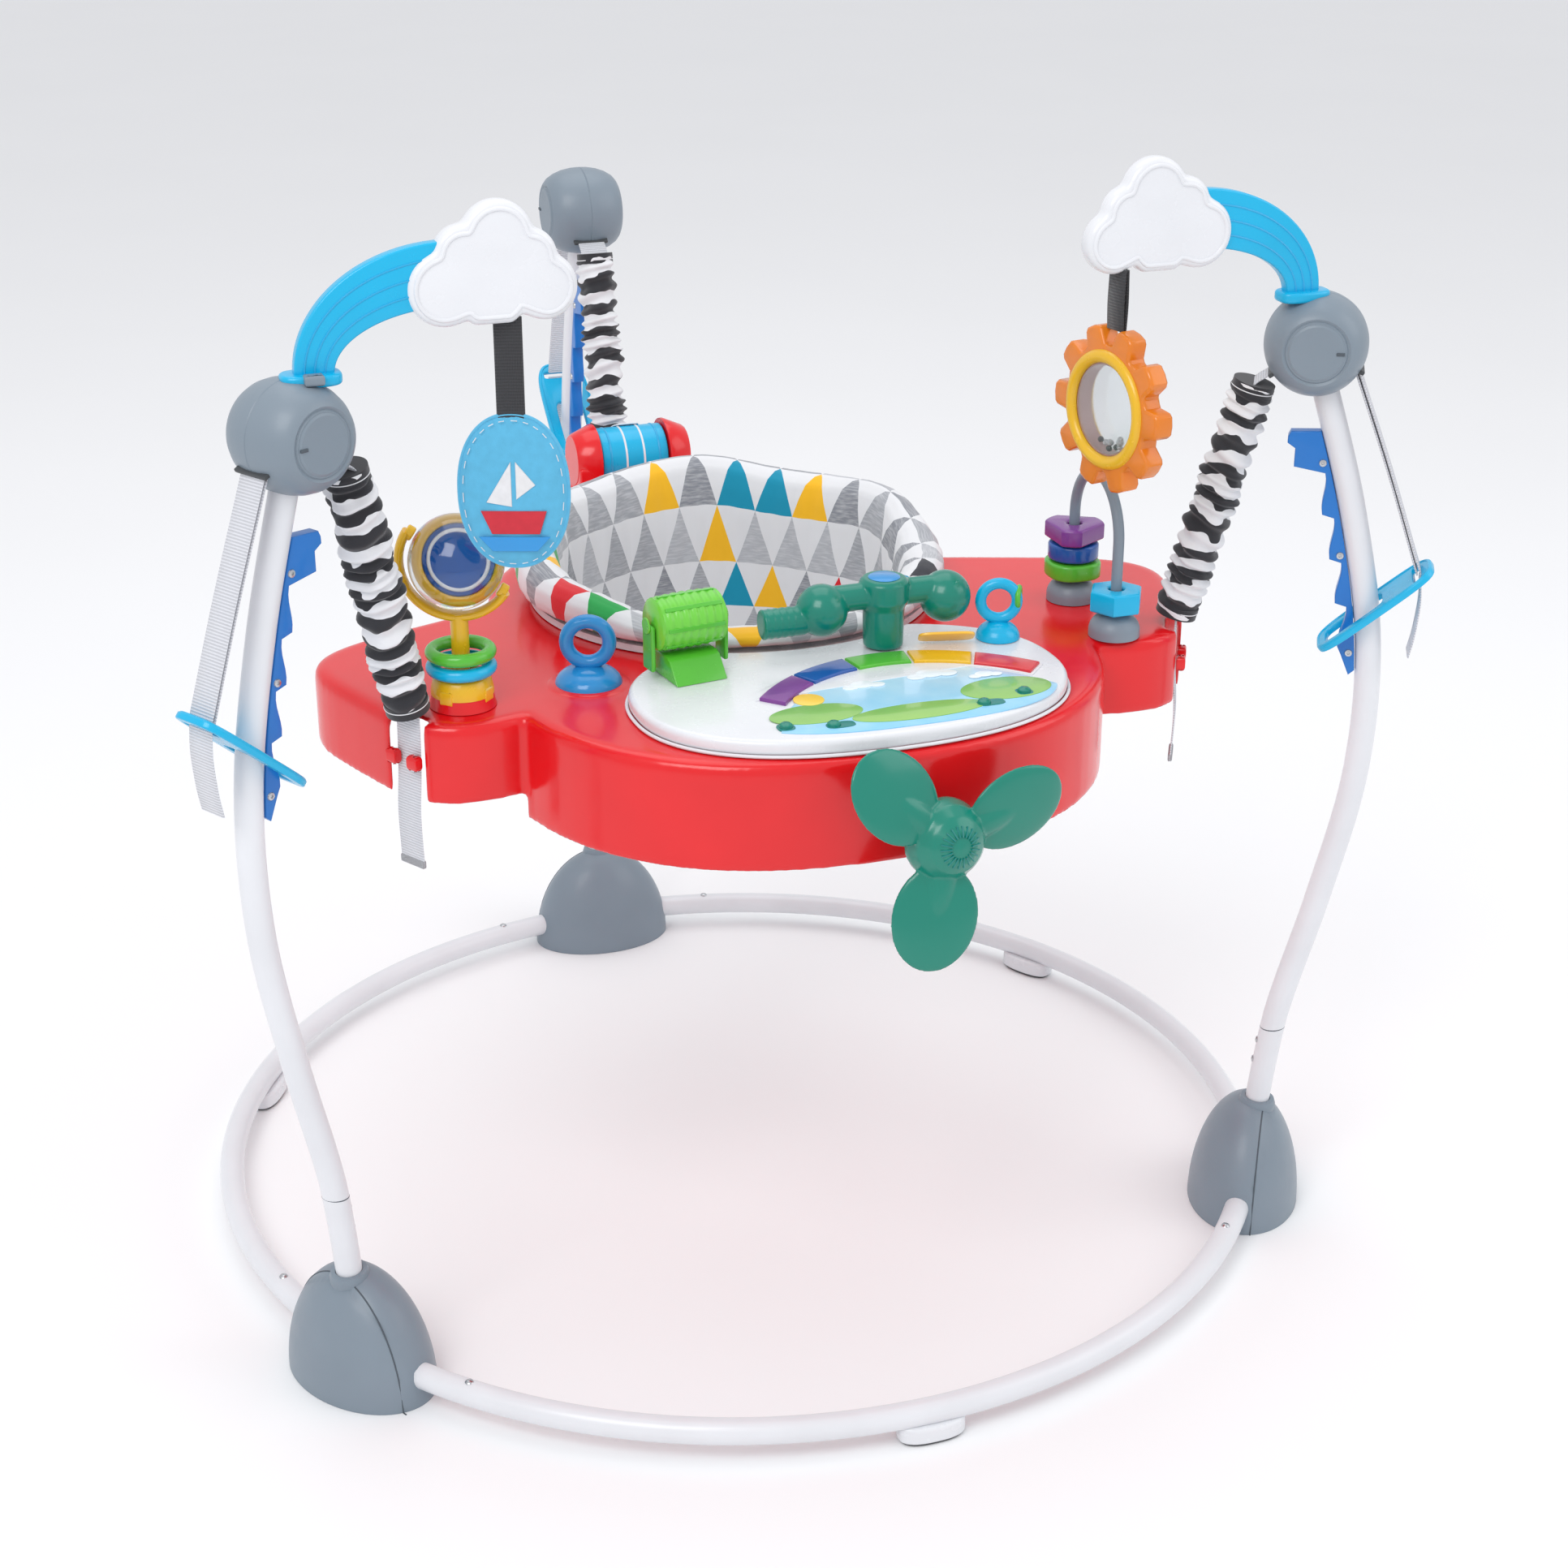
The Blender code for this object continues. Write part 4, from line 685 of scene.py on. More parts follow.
def racks():
    inner = TUBE + 0.0004
    low, high, notches = 0.470, 0.660, 4
    for side, azimuth in LEGS.items():
        outline = [(leg_reach(h) - inner,
                    h) for h in [low + 0.004 + (high - low - 0.004) * i / 12 for i in range(13)]]
        pitch = (high - 0.030 - low - 0.022) / notches
        top = leg_reach(high) - inner
        outline += [(top - 0.022, high - 0.001), (top - 0.0238, high - 0.005), (top - 0.024, high - 0.010),
                    (top - 0.018, high - 0.014), (top - 0.018, high - 0.028)]
        for n in range(notches):
            upper = high - 0.030 - n * pitch
            for k in range(7):
                share = k / 6
                depth = 0.35 + 0.65 * math.sin(math.pi / 2 * share) ** 2
                h = upper - 0.002 - share * 0.93 * pitch
                outline.append((leg_reach(h) - inner - 0.013 * depth, h))
        tip = low + 0.016
        outline += [(leg_reach(tip) - inner - 0.0104, tip), (leg_reach(low) - inner - 0.0046, low)]
        upright = turned_frame(at(0, 0, 0), azimuth) @ turned(90, "X")
        body = plate(f"rack_body_{side}", [outline], 0.0100, RACK, upright, 0.0009)
        put("frame", "rack_blue", body, instead=[f"height_rack_{side}"])
        for k, h in enumerate((0.488, 0.565, 0.636)):
            for face, turn in (("a", -90), ("b", 90)):
                spot = turned_frame(polar(leg_reach(h) - inner - 0.0045, azimuth, h), azimuth)
                out = spot @ shifted(0, -0.0050 if turn == 90 else 0.0050, 0)
                head = lathe(f"rack_screw_{side}_{k}_{face}",
                             [(0, 0.0004), (0.0010, 0.0002), (0.0012, 0.0010),
                             (0.0026, 0.0008), (0.0030, 0.0), (0, 0)], CHROME,
                             out @ turned(turn, "X"), 20)
                put("frame", "spring_steel", head)


LOOP_MIDDLE = (0.4925, 0.5255)
LOOP_TILT = 41.13
LOOP_SLOT = 0.0390


def loop_frame(azimuth):
    return turned_frame(polar(LOOP_MIDDLE[0], azimuth, LOOP_MIDDLE[1]), azimuth, -LOOP_TILT)


def ribbon(width, thick=0.0013):
    half, t = width / 2, thick / 2
    return [(-half + t, -t), (0.0, -t), (half - t, -t), (half, 0), (half - t, t), (0.0, t), (-half + t, t),
            (-half, 0)]


def strap(name, points, azimuth, width=0.024, look=None, per_span=8):
    across = polar(1, azimuth + 90, 0) - polar(0, 0, 0)
    return sweep(name, smooth_path(points, per_span), ribbon(width), across, look or STRAP_WHITE, sharp=60)


def adjusters():
    for side, azimuth in LEGS.items():
        body = f"adjuster_{side}"
        matrix = loop_frame(azimuth)
        edge = superellipse((0, 0), (0.0524, 0.0238), 4, 96)
        leg_hole = superellipse((-0.0182, 0), (0.0262, 0.0125), 6, 64)
        slot_hole = superellipse((LOOP_SLOT, 0), (0.0035, 0.0165), 6, 48)
        loop = plate(f"loop_plate_{side}", [edge, leg_hole, slot_hole], 0.0050, CYAN, matrix, 0.0012)
        rim = sweep(f"loop_rim_{side}", [matrix @ Vector((x * 0.965, y * 0.93, 0.0022)) for x, y in edge],
                    circle(0.0011, 8), matrix.to_3x3() @ UP, CYAN, closed=True)
        put(body, "cyan_plastic", loop, rim, instead=[f"adjuster_loop_{side}"])
        start_point = hub_point(azimuth, -27.0, 0.034)
        slot_point = matrix @ Vector((LOOP_SLOT, 0, 0))
        outward = polar(1, azimuth, 0) - polar(0, 0, 0)
        for k, gap in enumerate((-0.0014, 0.0014)):
            path = [start_point + outward * gap,
                    start_point.lerp(slot_point, 0.5) + outward * (gap + 0.002),
                    slot_point + outward * gap + Vector((0, 0, 0.004))]
            web = strap(f"adjuster_strap_{side}_{k}", path, azimuth, 0.0235)
            put("frame", "zebra_fabric", web)
        tail = [slot_point + outward * 0.0018 + Vector((0, 0, -0.001)),
                slot_point + outward * 0.003 + Vector((0, 0, -0.02)),
                slot_point + outward * 0.001 + Vector((0, 0, -0.045)),
                slot_point - outward * 0.002 + Vector((0, 0, -0.062))]
        end = strap(f"adjuster_tail_{side}", tail, azimuth, 0.0235)
        put(body, "zebra_fabric", end)


# ---------------------------------------------------------------- toy arms, clouds and hanging toys

ARM_REACH, ARM_RISE = 0.105, 0.080
ARM_AZIMUTH = {"left": 0.0, "right": 180.0}


def arm_curve(share, steps=28):
    """Points of the rainbow arm's band: share 0 is its outer edge and 1 its inner edge."""
    base = HUB_HEIGHT + 0.0386
    line = []
    for i in range(steps + 1):
        t = math.pi / 2 * i / steps
        near = 0.004 + 0.026 * share
        rise = ARM_RISE - 0.042 * share
        line.append((ARM_REACH - (ARM_REACH - near) * math.cos(t), base + rise * math.sin(t)))
    return line


CLOUD_LOBES = [(0.104, 0.813, 0.0250), (0.117, 0.834, 0.0195), (0.140, 0.844, 0.0240),
               (0.160, 0.830, 0.0190), (0.170, 0.810, 0.0220), (0.135, 0.811, 0.0260)]
CLOUD_MIDDLE = (0.137, 0.814)
CLOUD_BASE = 0.788


def cloud_outline(shrink=0.0, count=160):
    points = []
    for i in range(count):
        dx, dy = math.cos(2 * math.pi * i / count), math.sin(2 * math.pi * i / count)
        reach = 0.0
        for x, y, radius in CLOUD_LOBES:
            ox, oy = x - CLOUD_MIDDLE[0], y - CLOUD_MIDDLE[1]
            along = ox * dx + oy * dy
            inside = (radius - shrink) ** 2 - (ox ** 2 + oy ** 2 - along ** 2)
            if inside > 0:
                reach = max(reach, along + math.sqrt(inside))
        if dy < 0:
            reach = min(reach, (CLOUD_MIDDLE[1] - CLOUD_BASE - shrink) / -dy)
        points.append((CLOUD_MIDDLE[0] + reach * dx, CLOUD_MIDDLE[1] + reach * dy))
    for _ in range(3):
        points = [((points[k - 1][0] + 2 * x + points[(k + 1) % count][0]) / 4,
                   (points[k - 1][1] + 2 * y + points[(k + 1) % count][1]) / 4) for k,
                   (x, y) in enumerate(points)]
    return points


def arms_and_clouds():
    for side, direction in ARM_AZIMUTH.items():
        matrix = standing(polar(HUB_REACH, LEGS[side], 0), direction)
        outline = arm_curve(0.0) + arm_curve(1.0)[::-1]
        band = plate(f"arm_band_{side}", [outline], 0.0100, CYAN, matrix, 0.0016)
        ribs = []
        for k, share in enumerate((0.25, 0.5, 0.75)):
            for face in (-1, 1):
                line = [matrix @ Vector((x, y, face * 0.0049)) for x, y in arm_curve(share)]
                ribs.append(sweep(f"arm_rib_{side}_{k}_{face + 1}", line, circle(0.0007, 8),
                                  matrix.to_3x3() @ UP, CYAN_DEEP))
        put("frame", "cyan_plastic", band, *ribs, instead=[f"toy_arm_{side}"])
        foot_spot = polar(HUB_REACH, LEGS[side],
                          HUB_HEIGHT + 0.0355) + matrix.to_3x3() @ Vector((0.015, 0, 0))
        collar = plate(f"arm_collar_{side}", [superellipse((0, 0), (0.0200, 0.0125), 3, 64)], 0.008, CYAN,
                       turned_frame(foot_spot + Vector((0, 0, 0.0010)), direction), 0.0025)
        latch = block(f"arm_latch_{side}", (0.013, 0.009, 0.007), GREY,
                      turned_frame(foot_spot + Vector((0, 0, 0.0030)) + matrix.to_3x3() @ Vector((0, 0,
                                                                                                  0.013)),
                                   direction), 0.002)
        put("frame", "cyan_plastic", collar)
        put("frame", "grey_plastic", latch)
        body = plate(f"cloud_body_{side}", [cloud_outline()], 0.0160, WHITE, matrix, 0.0050)
        rims = [sweep(f"cloud_rim_{side}_{face + 1}",
                      [matrix @ Vector((x, y, face * 0.0076)) for x, y in cloud_outline(0.0052)],
                      circle(0.0016, 10), matrix.to_3x3() @ UP, WHITE, closed=True)
                for face in (-1, 1)]
        put("frame", "white_plastic", body, *rims, instead=[f"cloud_{side}"])


def toy_anchor(side, reach):
    return polar(HUB_REACH, LEGS[side],
                 CLOUD_BASE - 0.0006) + Vector((reach if side == "left" else -reach, 0, 0))


def cushion(name, outline, puff, look, matrix, rings=10):
    """A stuffed pad: two domed faces that meet in a seam, with small puckers near it."""
    bm = bmesh.new()
    layer = bm.loops.layers.uv.new("UVMap")
    count = len(outline)
    sides = []
    for face in (1, -1):
        circles = []
        for r in range(rings):
            share = 1 - r / rings
            height = puff * (1 - share ** 2.6) ** 0.5
            ring = []
            for k, (x, y) in enumerate(outline):
                pucker = 0.0008 * math.sin(k * 2 * math.pi / count * 22) * share ** 6 * (1 if r else 0)
                ring.append(bm.verts.new((x * share, y * share, face * (height + pucker))))
            circles.append(ring)
        circles.append([bm.verts.new((0, 0, face * puff))])
        sides.append(circles)
    for face, circles in zip((1, -1), sides):
        for outer, inner in zip(circles, circles[1:]):
            for k in range(count):
                m = (k + 1) % count
                corners = list(dict.fromkeys((outer[k], outer[m], inner[m % len(inner)],
                                              inner[k % len(inner)])))
                made = bm.faces.new(corners)
                for loop in made.loops:
                    loop[layer].uv = (loop.vert.co.x, loop.vert.co.y)
    bmesh.ops.remove_doubles(bm, verts=bm.verts, dist=0.00005)
    bmesh.ops.recalc_face_normals(bm, faces=bm.faces)
    return from_bmesh(name, bm, look, matrix, 70)


def fabric_toy():
    """Stuffed oval on a black strap, with a simple boat on waves sewn to it."""
    anchor = toy_anchor("left", 0.145)
    facing = -20.0
    matrix = standing(anchor - Vector((0, 0, 0.114)), facing)
    pad = cushion("oval_pad", superellipse((0, 0), (0.0370, 0.0530), 2.2, 88), 0.0062, SKY_CLOTH, matrix)
    piping = sweep("oval_piping",
                   [matrix @ Vector((x, y, 0)) for x, y in superellipse((0, 0), (0.0366, 0.0526), 2.2, 88)],
                   circle(0.0013, 8), matrix.to_3x3() @ UP, SKY_CLOTH, closed=True)
    across = matrix.to_3x3() @ Vector((1, 0, 0))
    web = sweep("oval_strap", smooth_path([anchor + Vector((0, 0, 0.004)), anchor - Vector((0, 0, 0.030)),
                                           anchor - Vector((0, 0, 0.064))]),
                ribbon(0.0190, 0.0022), across, STRAP_BLACK, sharp=60)
    body = "hanging_fabric_toy"
    put(body, "toy_fabric", pad, piping, instead=["hanging_fabric_toy"])
    put(body, "toy_fabric", web)
    shapes = [("boat_hull", [(-0.022, -0.012), (0.022, -0.012), (0.017, -0.028), (-0.015, -0.028)],
               RED_CLOTH),
              ("boat_sail", [(-0.001, -0.009), (-0.001, 0.022), (-0.018, -0.006)], PAPER_WHITE),
              ("boat_flag", [(0.002, 0.022), (0.015, 0.006), (0.002, -0.004)], LABEL),
              ("boat_wave", [(-0.024, -0.030), (0.024, -0.030), (0.015, -0.040), (-0.015, -0.040)], BLUE)]
    for name, outline, look in shapes:
        for face in (1, -1):
            lift = matrix @ shifted(0, 0, face * 0.0062)
            put(body, "toy_fabric", plate(f"{name}_{face + 1}", [outline], 0.0012, look, lift, 0.0004))
    picot = [matrix @ Vector((x, y, 0.0)) for x, y in superellipse((0, 0), (0.0335, 0.0495), 2.2, 60)]
    for k in range(0, 60, 2):
        a, b = picot[k], picot[(k + 1) % 60]
        for face in (1, -1):
            lift = matrix.to_3x3() @ Vector((0, 0, face * 0.0044))
            put(body, "toy_fabric",
                sweep(f"oval_stitch_{k}_{face + 1}", [a + lift, b + lift], circle(0.0003, 6),
                                          UP, STITCH))


def sun_rattle():
    """Ten-pointed rattle: rays, a yellow ring, a clear window and loose beads inside it."""
    anchor = toy_anchor("right", 0.163)
    facing = 101.0
    matrix = standing(anchor - Vector((0, 0, 0.097)), facing)
    points = 10
    outline = []
    for n in range(points):
        for part, radius in ((-0.36, 0.0475), (-0.26, 0.0575), (-0.18, 0.0600), (0.0, 0.0605),
                             (0.18, 0.0600),
                             (0.26, 0.0575), (0.36, 0.0475), (0.44, 0.0462)):
            angle = 2 * math.pi * (n + part + 0.5) / points + math.pi / 2
            outline.append((radius * math.cos(angle), radius * math.sin(angle)))
    hole = circle(0.0330, 64)
    body = "hanging_sun_rattle"
    rays = plate("sun_rays", [outline, hole], 0.0158, ORANGE, matrix, 0.0028)
    put(body, "orange_plastic", rays, instead=["hanging_sun_rattle"])
    for k, end in enumerate((-1, 1)):
        lift = matrix @ shifted(0, 0, end * 0.0066)
        put(body, "yellow_plastic", torus(f"sun_ring_{k}", 0.0385, 0.0050, YELLOW, lift))
        put(body, "clear_plastic", rod(f"sun_window_{k}", 0.0355, 0.0012, CLEAR, lift, 0.0003))
    wall = lathe("sun_wall", [(0.0338, 0.0062), (0.0338, -0.0062), (0.0322, -0.0062), (0.0322, 0.0062),
                              (0.0338, 0.0062)], PINKISH, matrix)
    put(body, "orange_plastic", wall)
    for k in range(11):
        angle = math.radians(-90 + random.uniform(-38, 38))
        reach = 0.0290 - random.uniform(0, 0.006)
        spot = matrix @ Vector((reach * math.cos(angle), reach * math.sin(angle),
                                random.uniform(-0.003, 0.003)))
        put(body, "white_plastic", ball(f"sun_bead_{k}", (0.0023,) * 3, BLACK if k % 3 == 0 else WHITE,
                                        Matrix.Translation(spot), 16))
    across = matrix.to_3x3() @ Vector((1, 0, 0))
    for k, gap in enumerate((-0.0012, 0.0012)):
        side = matrix.to_3x3() @ Vector((0, 0, gap))
        web = sweep(f"sun_strap_{k}",
                    smooth_path([anchor + side + Vector((0, 0, 0.004)), anchor + side * 1.6
                                                   - Vector((0, 0, 0.020)),
                                                   anchor + side - Vector((0, 0, 0.040))]),
                    ribbon(0.0190), across, STRAP_BLACK, sharp=60)
        put(body, "toy_fabric", web)


# ---------------------------------------------------------------- sprung straps

STRAP_SEATS = {"left": (-0.300, -0.168), "right": (0.300, -0.168), "rear": (0.0, 0.352)}


def open_ends(tube):
    """Takes the two flat ends off a swept tube, which leaves one layer of cloth."""
    bm = bmesh.new()
    bm.from_mesh(tube.data)
    bmesh.ops.delete(bm, geom=[face for face in bm.faces if len(face.verts) > 4], context="FACES_ONLY")
    bm.to_mesh(tube.data)
    bm.free()


def suspension():
    for side, azimuth in LEGS.items():
        upper = hub_point(azimuth, 216.0, 0.052)
        lower = at(*STRAP_SEATS[side], TRAY_TOP + 0.006)
        across = polar(1, azimuth + 90, 0) - polar(0, 0, 0)
        steps = 150
        path = [lower.lerp(upper, i / steps) for i in range(steps + 1)]

        def folds(share, turn, seed=azimuth):
            wave = math.sin(share * 125 + 2.2 * math.sin(2 * math.pi * turn + seed) + 3
                            * math.sin(share * 17 + seed))
            drift = noise.noise(Vector((math.cos(2 * math.pi * turn), math.sin(2 * math.pi * turn),
                                        share * 9 + seed)))
            ends = min(1.0, 12 * share, 12 * (1 - share))
            return 0.96 + ends * (0.12 * wave + 0.22 * drift)

        sleeve = sweep(f"sleeve_cloth_{side}", path, circle(0.0163, 40), across, ZEBRA, shape=folds,
                       sharp=80)
        open_ends(sleeve)
        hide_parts(f"spring_sleeve_{side}")
        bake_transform(sleeve)
        for label, place, body in (("top", upper, "frame"), ("bottom", lower, "tray")):
            near = lower.lerp(upper, 0.045 if label == "bottom" else 0.955)
            hem = sweep(f"sleeve_hem_{label}_{side}", [place, near], circle(0.0158, 40), across, HEM,
                        sharp=60)
            put(body, "zebra_fabric", hem)
            ring = [near + (place - near) * 0.35]
            direction = (upper - lower).normalized()
            turn = direction.to_track_quat("Z", "Y").to_matrix().to_4x4()
            put(body, "zebra_fabric", torus(f"sleeve_thread_{label}_{side}", 0.0158, 0.0004, STITCH,
                                            Matrix.Translation(ring[0]) @ turn))
        top = strap(f"spring_strap_top_{side}",
                    [hub_point(azimuth, 216.0, 0.034), upper, upper.lerp(lower, 0.06)],
                    azimuth)
        put("frame", "zebra_fabric", top)
        outward = polar(1, azimuth, 0) - polar(0, 0, 0)
        drop = [lower + (upper - lower).normalized() * 0.014,
                lower + Vector((0, 0, -0.006)) + outward * 0.0005,
                lower + Vector((0, 0, -0.045)) + outward * 0.0015,
                lower + Vector((0, 0, -0.078)) + outward * 0.004,
                lower + Vector((0, 0, -0.118)) + outward * 0.003]
        tail = strap(f"tray_strap_{side}", drop, azimuth)
        put("tray", "zebra_fabric", tail)
        hem = block(f"tray_strap_hem_{side}", (0.0034, 0.0236, 0.006), STRAP_WHITE,
                    turned_frame(lower + Vector((0, 0, -0.116)) + outward * 0.003, azimuth), 0.001)
        put("tray", "zebra_fabric", hem)


# ---------------------------------------------------------------- tray

BODY_CENTRE = (0, -0.115)
BODY_HALF, BODY_POWER, BODY_DEPTH = 0.229, 2.4, 0.080
EAR_DEPTH = 0.060
COLLAR_RADIUS, COLLAR_DEPTH = 0.193, 0.068
TRAY_WALL = 0.0035
SHOULDER = 0.0070
SEAT_HOLE = 0.1525
DROP_LOOP = (-0.163, -0.147)
RATTLE_LOOP = (0.1415, -0.1870)
EARS = {"left": ((-0.205, -0.0746), (0.130, 0.105), 4, 200.0),
        "right": ((0.205, -0.0746), (0.130, 0.105), 4, 340.0),
        "rear": ((0.0, 0.250), (0.115, 0.062), 6, 90.0)}


def prism(name, outline, top, depth, look=None):
    place = placed(0, 0, top - depth / 2)
    return plate(name, [outline], depth, look or RED, place, SHOULDER)


def tray_solids(label, shrink, drop, extra):
    """Body, collar and ears, each moved in by the wall when they are the hollow."""
    solids = [prism(f"{label}_body",
                    superellipse(BODY_CENTRE, (BODY_HALF - shrink, BODY_HALF - shrink), BODY_POWER, 96),
                    TRAY_TOP - drop, BODY_DEPTH + extra)]
    for side, (centre, half, power, azimuth) in EARS.items():
        outline = superellipse(centre, (half[0] - shrink, half[1] - shrink), power, 72, azimuth)
        solids.append(prism(f"{label}_{side}", outline, TRAY_TOP - drop, EAR_DEPTH + extra))
    collar = [(x + SEAT[0], y + SEAT[1]) for x, y in circle(COLLAR_RADIUS - shrink, 96)]
    solids.append(prism(f"{label}_collar", collar, TRAY_TOP - drop, COLLAR_DEPTH + extra))
    return solids


PROPELLER = (0.022, -0.380, 0.449)


def propeller_matrix():
    tilt = turned(82.0, "X")
    return placed(*PROPELLER) @ turned(5.0, "Z") @ tilt


def tray():
    seat_circle = [(x + SEAT[0], y + SEAT[1]) for x, y in circle(SEAT_HOLE + 0.005, 96)]
    hollow = fused("tray_hollow", tray_solids("hollow", TRAY_WALL, TRAY_WALL, 0.060), RED, 0.0025, 2,
                   [prism("seat_wall", seat_circle, TRAY_TOP + 0.05, 0.2)])
    solids = tray_solids("tray", 0.0, 0.0, 0.030)
    solids.append(rod("tray_boss", 0.0150, 0.026, RED, propeller_matrix() @ shifted(0, 0, -0.0262)))
    solids.append(prism("loop_boss", [(x + DROP_LOOP[0], y + DROP_LOOP[1]) for x, y in circle(0.031, 48)],
                        TRAY_TOP,
                        0.010))
    opening = [(x + SEAT[0], y + SEAT[1]) for x, y in circle(SEAT_HOLE, 96)]
    cutters = [hollow, prism("seat_hole", opening, TRAY_TOP + 0.05, 0.2)]
    for side, (x, y) in STRAP_SEATS.items():
        azimuth = math.degrees(math.atan2(y, x))
        cutters.append(block(f"notch_{side}", (0.034, 0.032, 0.100), RED,
                             turned_frame(at(x, y, TRAY_TOP - 0.030), azimuth) @ shifted(0.011, 0, 0),
                             0.002))
    everywhere = circle(0.52, 64)
    waist = superellipse((0, -0.115), (0.2295, 0.2295), 2.4, 96)
    cutters.append(plate("lower_cut", [everywhere], 0.120, RED, placed(0, 0, TRAY_TOP - 0.140)))
    cutters.append(plate("ear_cut", [everywhere, waist], 0.120, RED, placed(0, 0, TRAY_TOP - 0.120)))
    shell = fused("tray_moulding", solids, RED, 0.0025, 9, cutters)
    put("tray", "red_plastic", shell, instead=["tray_shell"])
    for side, (x, y) in STRAP_SEATS.items():
        azimuth = math.degrees(math.atan2(y, x))
        for k, end in enumerate((-1, 1)):
            prong = block(f"tray_prong_{side}_{k}", (0.007, 0.010, 0.011), RED,
                          turned_frame(at(x, y, TRAY_TOP - 0.030), azimuth)
                          @ shifted(0.0065, end * 0.0110, 0), 0.003)
            put("tray", "red_plastic", prong)
    raised = lathe("loop_boss_ring", [(0, 0.0022), (0.0285, 0.0022), (0.0310, 0.0010), (0.0315, -0.001),
                                      (0, -0.001)], RED, placed(*DROP_LOOP, TRAY_TOP - 0.0012))
    put("tray", "red_plastic", raised)


def propeller():
    matrix = propeller_matrix()
    solids = [lathe("propeller_hub", [(0, 0.0200), (0.012, 0.0182), (0.0200, 0.0125), (0.0262, 0.004),
                                      (0.0288, -0.006), (0.0288, -0.0118), (0, -0.0118)], TEAL, matrix)]
    for n in range(3):
        turn = matrix @ turned(120.0 * n + 16.0, "Z")
        pitch = turned(14.0, "X")
        solids.append(ball(f"blade_{n}", (0.0385, 0.0305, 0.0054), TEAL,
                           turn @ shifted(0.054, 0, 0) @ pitch))
        solids.append(ball(f"blade_root_{n}", (0.030, 0.0100, 0.0062), TEAL,
                           turn @ shifted(0.030, 0, 0.001) @ pitch, 24))
    body = fused("propeller_moulding", solids, TEAL, 0.0011, 5)
    put("propeller", "teal_plastic", body, instead=["propeller"])
    rays = 22
    for k in range(rays):
        angle = 2 * math.pi * k / rays
        inner = matrix @ Vector((0.0075 * math.cos(angle), 0.0075 * math.sin(angle), 0.0196))
        outer = matrix @ Vector((0.0150 * math.cos(angle), 0.0150 * math.sin(angle), 0.0168))
        put("propeller", "teal_plastic", sweep(f"propeller_ray_{k}", [inner, outer], circle(0.0006, 8),
                                               UP, TEAL_DEEP))


# ---------------------------------------------------------------- console

CONSOLE_CENTRE, CONSOLE_HALF, CONSOLE_POWER = (0.007, -0.2307), (0.160, 0.107), 2.3
KEY_CENTRE = (0.039, -0.366)
KEY_SPAN, KEY_SQUEEZE = 96.0, 0.85
KEY_STEPS = 13
KEY_NAMES = ["purple", "blue", "green", "yellow", "red"]
CONTROLS = {"button_left": (-0.068, -0.304), "slider_left": (-0.031, -0.312),
            "slider_right": (0.0825, -0.308), "button_right": (0.113, -0.297)}


def outside_seat(points, reach):
    moved = []
    for x, y in points:
        gap = math.dist((x, y), SEAT)
        grow = reach / gap if gap < reach else 1.0
        moved.append((SEAT[0] + (x - SEAT[0]) * grow, SEAT[1] + (y - SEAT[1]) * grow))
    return moved


def key_outline(index, inner, outer, slack):
    width = KEY_SPAN / len(KEY_NAMES)
    start_angle = 90.0 + KEY_SPAN / 2
    first = start_angle - index * width - slack
    last = start_angle - (index + 1) * width + slack
    points = []
    for radius, a, b in ((outer, first, last), (inner, last, first)):
        for i in range(KEY_STEPS):
            angle = math.radians(a + (b - a) * i / (KEY_STEPS - 1))
            points.append((KEY_CENTRE[0] + radius * math.cos(angle) * KEY_SQUEEZE,
                           KEY_CENTRE[1] + radius * math.sin(angle)))
    return points


